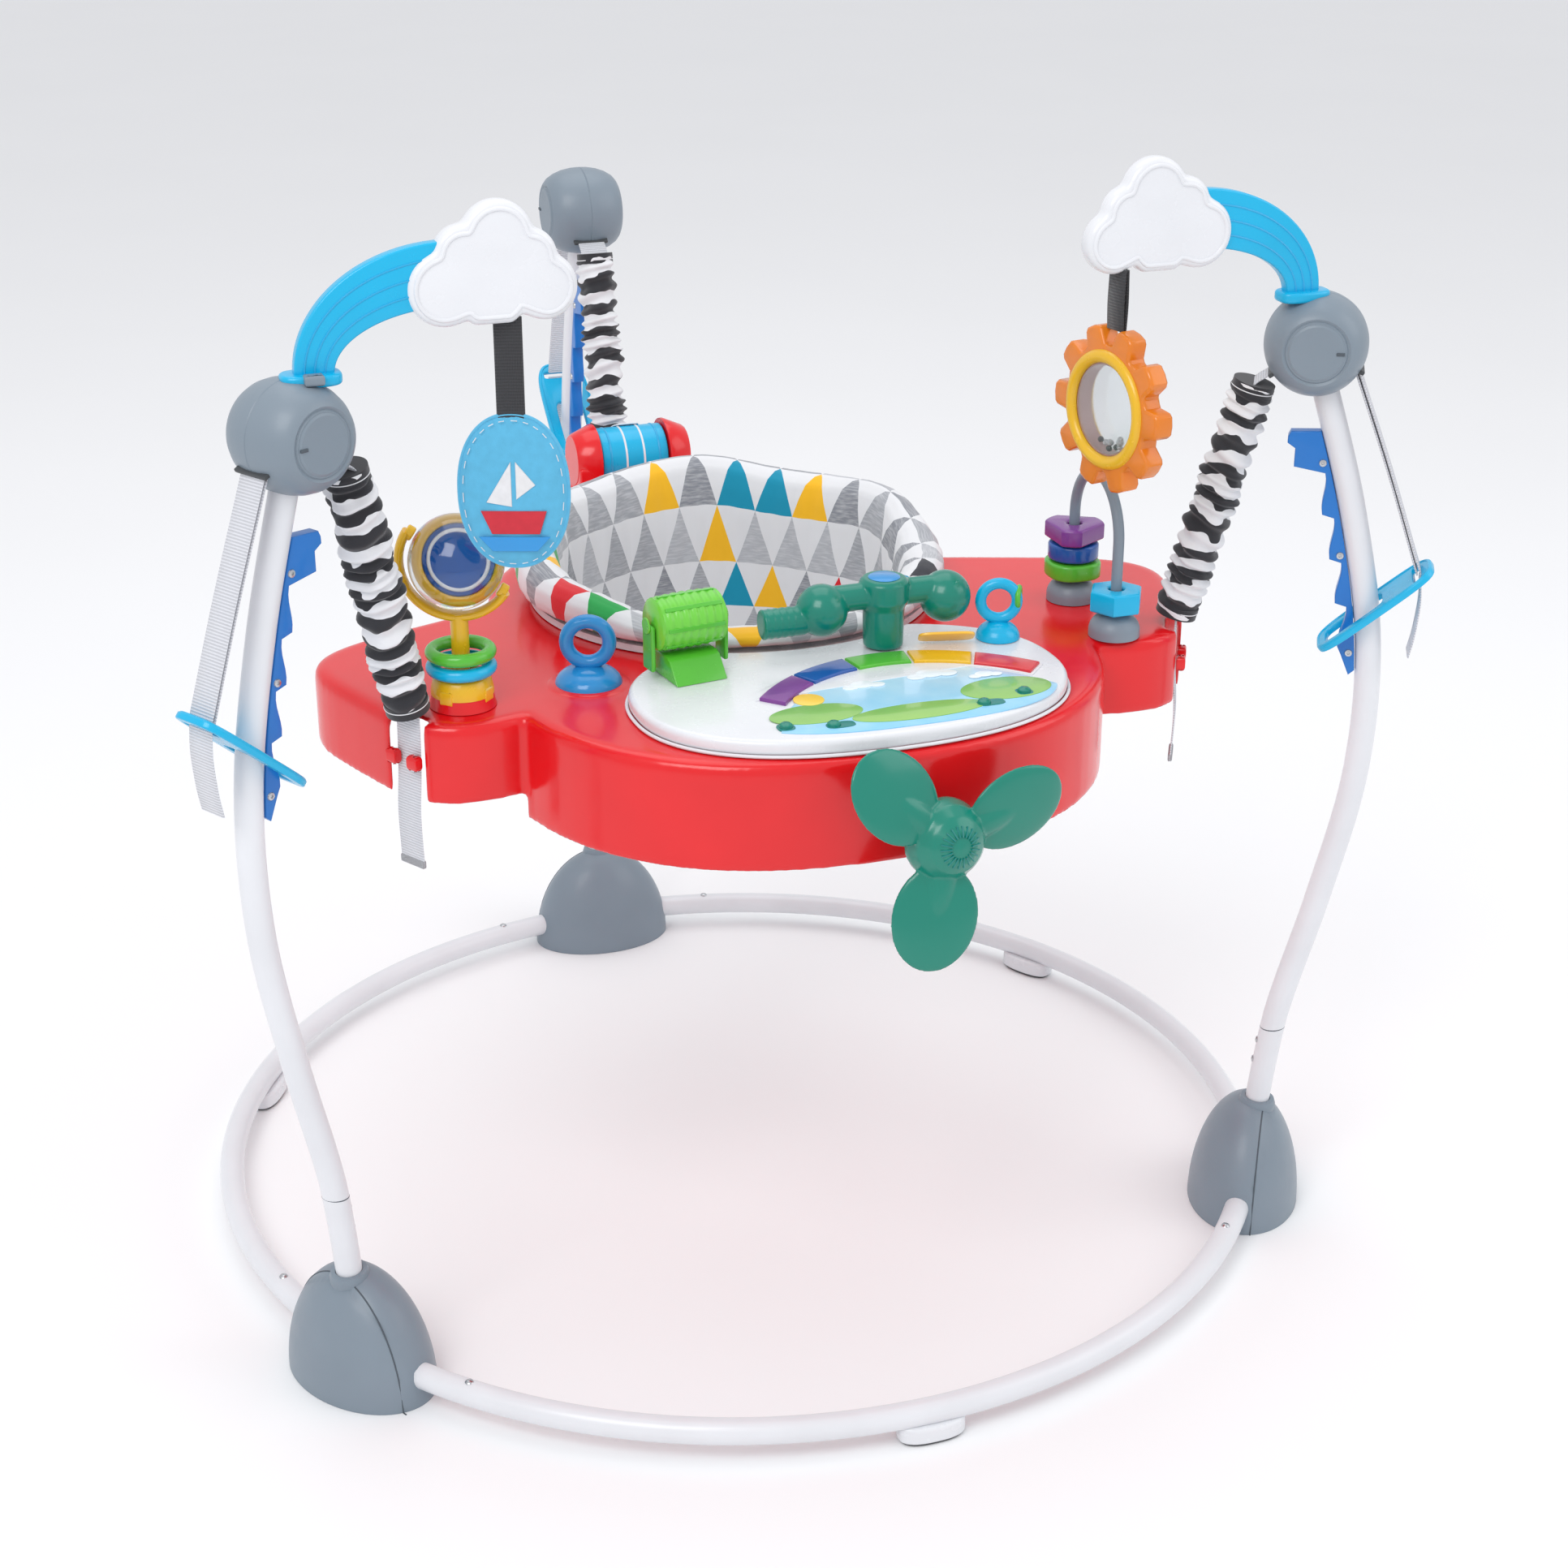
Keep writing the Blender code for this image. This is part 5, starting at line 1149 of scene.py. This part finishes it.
def console():
    outline = outside_seat(superellipse(CONSOLE_CENTRE, CONSOLE_HALF, CONSOLE_POWER, 160), 0.1740)
    body = plate("console_body", [outline], 0.0120, WHITE, placed(0, 0, TRAY_TOP + 0.0064), 0.0042)
    put("tray", "white_plastic", body, instead=["console_housing"])
    rim = [at(x, y, TRAY_TOP + 0.0016) for x,
           y in outside_seat(superellipse((0.007, -0.2307), (0.1612, 0.1082), 2.3, 160), 0.1738)]
    put("tray", "white_plastic", sweep("console_edge", rim, circle(0.0013, 8), UP, WHITE, closed=True))
    picture = []
    for x, y in superellipse((0.024, -0.266), (0.122, 0.063), 2.6, 140):
        reach = math.hypot((x - KEY_CENTRE[0]) / KEY_SQUEEZE, y - KEY_CENTRE[1])
        grow = min(1.0, 0.1435 / reach)
        picture.append((KEY_CENTRE[0] + (x - KEY_CENTRE[0]) * grow,
                        KEY_CENTRE[1] + (y - KEY_CENTRE[1]) * grow))
    put("tray", "white_plastic", plate("console_film", [picture], 0.0010, PANEL,
                                       placed(0, 0, CONSOLE_TOP + 0.0002), 0.0002))
    prints = [("hill_left", superellipse((-0.040, -0.288), (0.034, 0.017), 2, 48), HILL),
              ("hill_right", superellipse((0.104, -0.286), (0.034, 0.020), 2, 48), HILL),
              ("hill_middle", superellipse((0.030, -0.306), (0.050, 0.014), 2, 48), HILL),
              ("sun_print", superellipse((-0.036, -0.262), (0.011, 0.011), 2, 48), SUN_INK)]
    for n, (x, y, size) in enumerate(((0.010, -0.250, 1.0), (0.064, -0.246, 1.2), (0.100, -0.259, 0.8))):
        for m, (dx, dy, radius) in enumerate(((-0.010, 0, 0.006), (0, 0.003, 0.009), (0.010, 0, 0.006))):
            prints.append((f"cloud_print_{n}_{m}",
                           superellipse((x + dx * size, y + dy * size),
                                        (radius * size, radius * 0.7 * size), 2, 32), CLOUD_INK))
    for k, (name, shape, look) in enumerate(prints):
        lift = CONSOLE_TOP + 0.0008 + 0.00004 * k
        put("tray", "white_plastic", plate(name, [shape], 0.0006, look, placed(0, 0, lift), 0.0001))
    well_edge = []
    for index in range(len(KEY_NAMES)):
        end_key = index in (0, len(KEY_NAMES) - 1)
        points = key_outline(index, 0.1465, 0.1735, -0.4 if end_key else 0)
        well_edge += points if index == len(KEY_NAMES) - 1 else points[:KEY_STEPS]
    well = plate("key_well", [well_edge], 0.0010, WHITE, placed(0, 0, CONSOLE_TOP + 0.0004), 0.0003)
    put("tray", "white_plastic", well)
    for index, name in enumerate(KEY_NAMES):
        outline = key_outline(index, 0.1488, 0.1712, 0.45)
        key = plate(f"key_cap_{name}", [outline], 0.0070, KEYS[name],
                    placed(0, 0, CONSOLE_TOP + 0.0030 - 0.0035), 0.0012)
        put(f"light_key_{name}", f"{name}_plastic" if name != "red" else "red_plastic", key,
            instead=[f"light_key_{name}"])
    for name, (x, y) in CONTROLS.items():
        slider = name.startswith("slider")
        shape = superellipse((0, 0), (0.0105 if slider else 0.0062, 0.0055 if slider else 0.0062), 3, 40)
        put("tray", "teal_plastic", plate(f"{name}_seat", [shape], 0.0016, TEAL_DEEP,
                                          placed(x, y, CONSOLE_TOP + 0.0004), 0.0004))
        shift = -0.005 if slider else 0.0
        cap = lathe(f"{name}_cap",
                    [(0, 0.0042), (0.0030, 0.0040), (0.0046, 0.0028), (0.0050, 0.0010), (0.0050, -0.003),
                                    (0, -0.003)], TEAL, placed(x + shift, y, CONSOLE_TOP), 32)
        put(f"console_{name}", "teal_plastic", cap, instead=[f"console_{name}"])
    card = turned_frame(at(0.098, -0.1915, CONSOLE_TOP + 0.0075), -14, -38, "X")
    put("tray", "orange_plastic", plate("picture_card", [superellipse((0, 0), (0.021, 0.0085), 4, 40)],
                                        0.0022, SUN_INK, card, 0.0006))
    put("tray", "red_plastic",
        plate("card_print", [superellipse((-0.005, 0), (0.0085, 0.0050), 2, 32)], 0.0006,
                                     KEYS["red"], card @ shifted(0, 0, 0.0011), 0.0001))


# ---------------------------------------------------------------- tray toys

def spinner():
    base = at(-0.258, -0.156, TRAY_TOP + 0.0004)
    cup = lathe("spinner_cup",
                [(0, 0.0220), (0.0190, 0.0220), (0.0205, 0.0205), (0.0224, 0.0120), (0.0224, 0.0090),
                                (0.0212, 0.0082), (0.0212, 0.0070), (0, 0.0070)], YELLOW,
                                Matrix.Translation(base), 64)
    axle = turned_frame(at(-0.258, -0.156, TRAY_TOP + 0.106), -19.0, 34.0)
    fork_reach = 0.0400
    line = [axle @ Vector((fork_reach * math.cos(a), 0, fork_reach * math.sin(a)))
            for a in [math.pi * (1 + i / 40) for i in range(41)]]
    band = [(0.0062 * math.cos(t), 0.0034 * math.sin(t)) for t in [2 * math.pi * i / 20 for i in range(20)]]
    fork = sweep("spinner_fork", line, band, axle.to_3x3() @ Vector((0, 1, 0)), YELLOW)
    neck = rod("spinner_neck", 0.0064, 0.048, YELLOW, Matrix.Translation(base + Vector((0, 0, 0.0440))))
    put("tray", "yellow_plastic", cup, fork, neck, instead=["spinner_stand"])
    put("tray", "red_plastic",
        lathe("spinner_socket", [(0, 0.0100), (0.0218, 0.0096), (0.0228, 0.0040), (0.0240, 0.0),
                                                        (0, 0.0)], RED, Matrix.Translation(base)))
    for k in range(4):
        turn = math.radians(45 + 90 * k)
        hook = block(f"spinner_tab_{k}", (0.004, 0.010, 0.010), YELLOW,
                     turned_frame(base + Vector((0.0205 * math.cos(turn), 0.0205 * math.sin(turn), 0.0105)),
                                  math.degrees(turn)), 0.0015)
        put("tray", "yellow_plastic", hook)
    for k, end in enumerate((-1, 1)):
        put("tray", "yellow_plastic", rod(f"spinner_pivot_{k}", 0.0052, 0.0060, YELLOW, axle
            @ shifted(end * 0.0378, 0, 0) @ turned(90, "Y")))
    globe = ball("spinner_globe", (0.0338,) * 3, CLEAR, axle, 64)
    put("spinner_ball", "clear_plastic", globe, instead=["spinner_ball"])
    tipped = axle @ turned(58, "X")
    put("spinner_ball", "blue_plastic", lathe("globe_disc", [(0, 0.0028), (0.0180, 0.0022), (0.0190, 0.0),
                                                             (0.0180, -0.0022), (0, -0.0028)], BLUE_DEEP,
                                                             tipped))
    put("spinner_ball", "yellow_plastic", torus("globe_ring", 0.0218, 0.0036, YELLOW, tipped))
    put("spinner_ball", "blue_plastic",
        torus("globe_band", 0.0150, 0.0010, WHITE, tipped @ shifted(0, 0, 0.0026)))
    put("stacking_ring_green", "green_plastic",
        torus("ring_green", 0.0205, 0.0048, GREEN, Matrix.Translation(
        base + Vector((0, 0, 0.0395)))), instead=["stacking_ring_green"])
    put("stacking_ring_cyan", "cyan_plastic", torus("ring_cyan", 0.0205, 0.0048, CYAN, Matrix.Translation(
        base + Vector((0, 0, 0.0282)))), instead=["stacking_ring_cyan"])


def loop_toys():
    for name, foot_point, dome, tall, loop, wire, look, slot in (
            ("drop_loop", at(*DROP_LOOP, TRAY_TOP + 0.0005), 0.0245, 0.014, 0.0155, 0.0052, BLUE,
             "blue_plastic"),
            ("rattle_loop", at(*RATTLE_LOOP, CONSOLE_TOP + 0.0005), 0.0165, 0.013, 0.0135, 0.0042, CYAN,
             "cyan_plastic")):
        matrix = Matrix.Translation(foot_point)
        profile = [(dome * math.sin(t),
                    tall * math.cos(t)) for t in [math.pi / 2 * i / 14 for i in range(15)]]
        body = lathe(f"{name}_dome", profile + [(0, 0)], look, matrix, 64, 60)
        middle = foot_point + Vector((0, 0, tall + loop + wire * 0.4))
        ring = torus(f"{name}_hoop", loop, wire, look, standing(middle, -19.0))
        put(name, slot, body, ring, instead=[name])
        if name == "rattle_loop":
            side = standing(middle + Vector((0.0145, -0.003, 0.0025)), 60.0)
            put(name, "green_plastic", torus("rattle_link", 0.0070, 0.0021, GREEN, side))


def barrel():
    matrix = turned_frame(at(-0.099, -0.178, CONSOLE_TOP + 0.0004), 8.0)
    axle = matrix @ shifted(0, 0, 0.0395) @ turned(90, "Y")
    ramp = [(-0.027, 0.0), (0.020, 0.0), (0.0145, 0.013), (0.011, 0.017), (-0.011, 0.017), (-0.0150, 0.015)]
    stand = plate("barrel_ramp", [ramp], 0.0400, GREEN, matrix @ turned(90, "Z")
                  @ turned(90, "X"), 0.0010)
    put("tray", "green_plastic", stand, instead=["barrel_stand"])
    for k, end in enumerate((-1, 1)):
        put("tray", "green_plastic", block(f"barrel_bracket_{k}", (0.034, 0.016, 0.003), GREEN,
                                           axle @ shifted(0.0165, 0, end * 0.0288), 0.0010))
        put("tray", "green_plastic", rod(f"barrel_pivot_{k}", 0.0060, 0.0012, GREEN_BRIGHT,
                                         axle @ shifted(0, 0, end * 0.0309), 0.0003))
    profile = [(0, 0.026), (0.0165, 0.026), (0.0175, 0.0252)]
    for i in range(61):
        z = 0.0245 - 0.049 * i / 60
        profile.append((0.0187 + 0.0011 * (1 - (z / 0.026) ** 2) + 0.0005
                        * math.cos(z * 2 * math.pi / 0.0065), z))
    profile += [(0.0175, -0.0252), (0.0165, -0.026), (0, -0.026)]
    roller = lathe("barrel_drum", profile, GREEN_BRIGHT, axle, 72, 60)
    put("barrel_roller", "green_plastic", roller, instead=["barrel_roller"])
    for k in range(8):
        spoke = axle @ turned(45 * k, "Z") @ shifted(0.0195, 0, 0)
        put("barrel_roller", "green_plastic",
            block(f"barrel_slat_{k}", (0.0016, 0.0030, 0.044), GREEN, spoke, 0.0006))


YOKE, YOKE_HALF_SPAN, YOKE_BALL = (0.054, -0.176), 0.0485, 0.0193


def yoke():
    base = at(*YOKE, CONSOLE_TOP + 0.0006)
    solids = [lathe("yoke_column",
                    [(0, 0.053), (0.0155, 0.053), (0.0182, 0.050), (0.0182, 0.036), (0.0155, 0.030),
                                    (0.0148, 0.001), (0, 0.001)], TEAL, Matrix.Translation(base))]
    sideways = turned(90, "Y")
    for end in (-1, 1):
        solids.append(ball(f"yoke_knob_{end}", (YOKE_BALL,) * 3, TEAL,
                           Matrix.Translation(base + Vector((end * YOKE_HALF_SPAN, 0, 0.033)))))
        solids.append(rod(f"yoke_arm_{end}", 0.0100, 0.050, TEAL, Matrix.Translation(
            base + Vector((end * 0.025, 0, 0.040))) @ sideways))
    solids.append(rod("yoke_grip", 0.0108, 0.035, TEAL,
                      Matrix.Translation(base + Vector((-0.078, 0, 0.027))) @ sideways, 0.002))
    for k in range(5):
        solids.append(torus(f"yoke_grip_rib_{k}", 0.0100, 0.0013, TEAL, Matrix.Translation(
            base + Vector((-0.073 - 0.0052 * k, 0, 0.027))) @ sideways))
    body = fused("yoke_moulding", solids, TEAL, 0.0010, 3)
    put("steering_yoke", "teal_plastic", body, instead=["steering_yoke"])
    top = lathe("yoke_top", [(0, 0.0012), (0.0100, 0.0010), (0.0118, 0.0), (0, -0.0004)], BLUE,
                Matrix.Translation(base + Vector((0, 0, 0.0532))))
    put("steering_yoke", "blue_plastic", top)


ARCH_FEET = [(0.246, -0.095), (0.241, -0.181)]


def bead_arch():
    half, shoulder = 0.043, 0.072
    middle = ((ARCH_FEET[0][0] + ARCH_FEET[1][0]) / 2, (ARCH_FEET[0][1] + ARCH_FEET[1][1]) / 2)
    line = [at(*ARCH_FEET[0], TRAY_TOP + 0.006), at(*ARCH_FEET[0], TRAY_TOP + 0.040)]
    for i in range(33):
        angle = math.pi * i / 32
        line.append(at(middle[0] + 0.0025 * math.cos(angle), middle[1] + half * math.cos(angle),
                       TRAY_TOP + shoulder + half * math.sin(angle)))
    line += [at(*ARCH_FEET[1], TRAY_TOP + 0.040), at(*ARCH_FEET[1], TRAY_TOP + 0.006)]
    wire = sweep("arch_wire", line, circle(0.0042, 20), Vector((1, 0, 0)), GREY)
    put("tray", "grey_plastic", wire, instead=["bead_arch"])
    for n, (x, y) in enumerate(ARCH_FEET):
        profile = [(0.0195 * math.sin(t),
                    0.0045 + 0.0150 * math.cos(t)) for t in [math.pi / 2 * i / 14 for i in range(15)]]
        put("tray", "grey_plastic", lathe(f"arch_foot_{n}", profile + [(0.0195, 0.0), (0, 0)], GREY,
                                          placed(x, y, TRAY_TOP + 0.0004), 64))
    hole = circle(0.0058, 32)
    triangle = []
    for k in range(3):
        for i in range(9):
            angle = math.radians(120 * k - 20 + 40 * i / 8)
            triangle.append((0.0235 * math.cos(angle), 0.0235 * math.sin(angle)))
    for name, outline, height, thick, post, look, slot in (
            ("bead_green", superellipse((0, 0), (0.0208, 0.0208), 2.6, 48), 0.0265, 0.0130, 0, GREEN,
             "green_plastic"),
            ("bead_blue", circle(0.0198, 64), 0.0410, 0.0130, 0, BLUE_DEEP, "blue_plastic"),
            ("bead_purple", triangle, 0.0560, 0.0140, 0, PURPLE, "purple_plastic"),
            ("bead_cyan",
             [(0.0212 * math.cos(math.radians(60 * k)), 0.0212 * math.sin(math.radians(60 * k)))
                           for k in range(6)], 0.0290, 0.0168, 1, CYAN, "cyan_plastic")):
        x, y = ARCH_FEET[post]
        bead = plate(f"{name}_body", [outline, hole], thick, look, placed(x, y, TRAY_TOP + height), 0.0022)
        put(name, slot, bead, instead=[name])


def drum():
    base = at(0, 0.298, TRAY_TOP + 0.0004)
    axle = Matrix.Translation(base + Vector((0, 0, 0.032))) @ turned(90, "Y")
    plinth = block("drum_plinth", (0.104, 0.066, 0.005), RED,
                   Matrix.Translation(base + Vector((0, 0, 0.0025))), 0.0015)
    put("tray", "red_plastic", plinth, instead=["drum_housing"])
    for k, end in enumerate((-1, 1)):
        near, far = end * 0.031, end * 0.0515
        cheek = lathe(f"drum_cheek_{k}",
                      [(0, near), (0.0300, near), (0.0303, near + end * 0.002), (0.0232, far - end * 0.002),
                                          (0.0215, far), (0, far)], RED, axle, 72)
        leg = block(f"drum_post_{k}", (0.0195, 0.052, 0.030), RED, Matrix.Translation(
            base + Vector(((near + far) / 2, 0, 0.0155))), 0.003)
        put("tray", "red_plastic", cheek, leg)
    roller = lathe("drum_roller",
                   [(0, 0.0298), (0.0252, 0.0298), (0.0259, 0.0290), (0.0259, -0.0290), (0.0252, -0.0298),
                                   (0, -0.0298)], CYAN, axle, 72)
    put("roller_drum", "cyan_plastic", roller, instead=["roller_drum"])
    for k, z in enumerate((-0.022, -0.008, 0.008, 0.022)):
        put("roller_drum", "cyan_plastic",
            torus(f"drum_band_{k}", 0.0254, 0.0011, WHITE if k in (1, 2) else CYAN_DEEP,
                                                 axle @ shifted(0, 0, z)))
    for k, (look, size, lift) in enumerate(((WHITE, 0.0125, 0.0256), (SUN_INK, 0.0105, 0.0260),
                                            (KEYS["red"], 0.0052, 0.0264))):
        spot = axle @ turned(150, "Z") @ shifted(lift, 0, 0) @ Matrix.Rotation(
            math.radians(90), 4, "Y")
        put("roller_drum", "cyan_plastic",
            plate(f"drum_window_{k}", [superellipse((0, 0), (size, size * 0.9), 4, 32)],
                                                 0.0010, look, spot, 0.0002))


# ---------------------------------------------------------------- seat

SECTION = [(0.1600, 0.0100, 0.0), (0.1675, 0.0112, 0.15), (0.1695, 0.0135, 0.4), (0.1690, 0.0165, 0.75),
           (0.1640, 0.0190, 0.95), (0.1560, 0.0203, 1.0), (0.1480, 0.0195, 1.0), (0.1410, 0.0160, 0.95),
           (0.1370, 0.0090, 0.80), (0.1345, 0.0, 0.62), (0.1328, -0.012, 0.42), (0.1315, -0.025, 0.25),
           (0.1290, -0.045, 0.10), (0.1262, -0.065, 0.0), (0.1225, -0.085, 0.0), (0.1180, -0.105, 0.0),
           (0.1125, -0.125, 0.0), (0.1055, -0.145, 0.0), (0.0960, -0.163, 0.0), (0.0840, -0.180, 0.0),
           (0.0690, -0.194, 0.0), (0.0500, -0.204, 0.0), (0.0260, -0.210, 0.0)]
BACK_RISE = 0.042
SEAT_SIDES = 220
LEG_HOLE, LEG_HOLE_LEAN = 0.0425, 24
LEG_HOLE_APART, LEG_HOLE_FORWARD, LEG_HOLE_DROP = 0.058, -0.018, 0.190


def seat_point(angle, reach, height, raised):
    back = 0.5 + 0.5 * math.sin(angle)
    front = max(0.0, -math.sin(angle)) ** 1.5
    spread = reach * (1.0 - 0.04 * front)
    crease = noise.noise(Vector((math.cos(angle) * 2.4, math.sin(angle) * 2.4, height * 14)))
    pleat = math.sin(angle * 46 + 2 * crease) * 0.0007 * min(1.0, max(0.0, (height + 0.07) / 0.05))
    drape = noise.noise(Vector((math.cos(angle) * 1.7 + 4, math.sin(angle) * 1.7, height * 5)))
    spread += (0.0030 * crease * min(1.0, abs(height) / 0.03) + pleat) * (0.5 if reach > 0.150 else 1.0)
    spread += 0.0060 * drape * min(1.0, max(0.0, 0.158 - reach) / 0.012) * min(1.0, max(0.0, height + 0.12)
                                                                               / 0.05)
    lift = TRAY_TOP + height + raised * back * BACK_RISE + 0.0012 * crease + 0.0110 * drape * raised
    return at(SEAT[0] + spread * math.cos(angle), SEAT[1] + spread * math.sin(angle), lift)


def seat():
    """Cloth bowl on the swivel ring: a rolled rim with piping, a printed wall, a label and two leg openings."""
    ring = lathe("seat_ring_body", [(0.1402, 0.0058), (0.1595, 0.0058), (0.1598, 0.0008), (0.1494, 0.0008),
                                    (0.1494, -0.0198), (0.1402, -0.0198), (0.1402, 0.0058)], WHITE,
                 placed(*SEAT, TRAY_TOP), 128)
    put("seat", "seat_ring_plastic", ring, instead=["seat_ring"])
    sides = SEAT_SIDES
    dense = []
    for first, second in zip(SECTION, SECTION[1:]):
        for i in range(3):
            dense.append(tuple(a + (b - a) * i / 3 for a, b in zip(first, second)))
    dense.append(SECTION[-1])
    bm = bmesh.new()
    layer = bm.loops.layers.uv.new("UVMap")
    rows, lengths = [], [0.0]
    for k, (reach, height, raised) in enumerate(dense):
        rows.append([bm.verts.new(seat_point(2 * math.pi * i / sides, reach, height,
                                             raised)) for i in range(sides)])
        if k:
            lengths.append(lengths[-1] + math.dist(dense[k][:2], dense[k - 1][:2]))
    for k in range(len(rows) - 1):
        for i in range(sides):
            j = (i + 1) % sides
            face = bm.faces.new((rows[k][i], rows[k][j], rows[k + 1][j], rows[k + 1][i]))
            for loop, (step, row) in zip(face.loops, ((i, k), (i + 1, k), (i + 1, k + 1), (i, k + 1))):
                loop[layer].uv = (2 * math.pi * step / sides * SEAT_UV_RADIUS, lengths[row])
    bm.faces.new(rows[-1])
    lean = turned(LEG_HOLE_LEAN, "X")
    doomed = []
    holes = [(placed(SEAT[0] + x, SEAT[1] + LEG_HOLE_FORWARD,
                     TRAY_TOP - LEG_HOLE_DROP) @ lean) for x in (-LEG_HOLE_APART, LEG_HOLE_APART)]
    for face in bm.faces:
        for matrix in holes:
            local = matrix.inverted() @ face.calc_center_median()
            if math.hypot(local.x, local.y) < LEG_HOLE - 0.0005 and abs(local.z) < 0.075:
                doomed.append(face)
    bmesh.ops.delete(bm, geom=list(set(doomed)), context="FACES")
    edges = [edge for edge in bm.edges if edge.is_boundary
             and min(v.co.z for v in edge.verts) < TRAY_TOP - 0.06]
    for vert in {v for edge in edges for v in edge.verts}:
        matrix = min(holes, key=lambda m: (m.translation - vert.co).length)
        local = matrix.inverted() @ vert.co
        grow = LEG_HOLE / max(0.001, math.hypot(local.x, local.y))
        vert.co = matrix @ Vector((local.x * grow, local.y * grow, local.z))
    bmesh.ops.recalc_face_normals(bm, faces=bm.faces)
    cloth = from_bmesh("seat_cloth", bm, SEAT_CLOTH, None, 75)
    thick = cloth.modifiers.new("thickness", "SOLIDIFY")
    thick.thickness = 0.0018
    thick.offset = 0.0
    settle(cloth)
    cloth.data.shade_smooth()
    put("seat", "seat_fabric", cloth, instead=["seat_fabric"])
    for k, (reach, height, raised) in enumerate(((0.1690, 0.0135, 0.40),)):
        line = [seat_point(2 * math.pi * i / sides, reach, height, raised) for i in range(sides)]
        cord = sweep(f"seat_piping_{k}", line, circle(0.0012, 10), UP, LABEL, closed=True)
        put("seat", "seat_fabric", cord)
    label_at = seat_point(math.radians(250), 0.1362, 0.0, 0.6)
    label = plate("seat_label", [superellipse((0, 0), (0.014, 0.010), 12, 32)], 0.0009, LABEL,
                  standing(label_at, 160) @ shifted(0, -0.008, 0), 0.0002)
    put("seat", "seat_fabric", label)


# ---------------------------------------------------------------- surroundings

def stage():
    bpy.ops.mesh.primitive_plane_add(size=14.0, location=(0, 2.0, -0.0002))
    floor = bpy.context.object
    floor.name = "floor"
    made, tree, shader, coord = start("pale_floor")
    tone = add(tree, "ShaderNodeTexNoise", {"Vector": coord.outputs["Object"], "Scale": 2.0})
    tree.links.new(mix(tree, tone.outputs["Fac"], rgb((0.93, 0.93, 0.935)), rgb((0.955, 0.955, 0.96))),
                   shader.inputs["Base Color"])
    shader.inputs["Roughness"].default_value = 0.75
    floor.data.materials.append(made)
    world = bpy.data.worlds.new("studio")
    bpy.context.scene.world = world
    bpy.context.scene.view_settings.view_transform = "Standard"
    world.use_nodes = True
    world.node_tree.nodes["Background"].inputs["Color"].default_value = (0.96, 0.97, 1.0, 1.0)
    world.node_tree.nodes["Background"].inputs["Strength"].default_value = 0.80
    for name, power, size, spot in (("key", 34.0, 1.6, (-1.6, -1.8, 2.7)),
                                    ("fill", 12.0, 1.8, (2.2, -1.2, 2.0)),
                                    ("top", 16.0, 2.2, (0.2, 0.8, 3.0))):
        light = bpy.data.lights.new(name, "AREA")
        light.energy = power
        light.size = size
        lamp = bpy.data.objects.new(name, light)
        bpy.context.scene.collection.objects.link(lamp)
        lamp.location = spot
        lamp.rotation_euler = (Vector((0, 0, 0.4)) - Vector(spot)).to_track_quat("-Z", "Y").to_euler()
    view = bpy.data.cameras.new("camera")
    view.lens = 60.34
    view.sensor_width = 36.0
    camera = bpy.data.objects.new("camera", view)
    bpy.context.scene.collection.objects.link(camera)
    camera.location = (-0.6305, -1.9109, 1.1911)
    camera.rotation_euler = tuple(math.radians(a) for a in (66.588, -0.141, -19.726))
    bpy.context.scene.camera = camera


frame_metal()
hubs()
racks()
adjusters()
arms_and_clouds()
fabric_toy()
sun_rattle()
suspension()
tray()
propeller()
console()
spinner()
loop_toys()
barrel()
yoke()
bead_arch()
drum()
seat()
stage()
for side in LEGS:
    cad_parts[f"bounce_spring_{side}"].data.materials[0] = CHROME
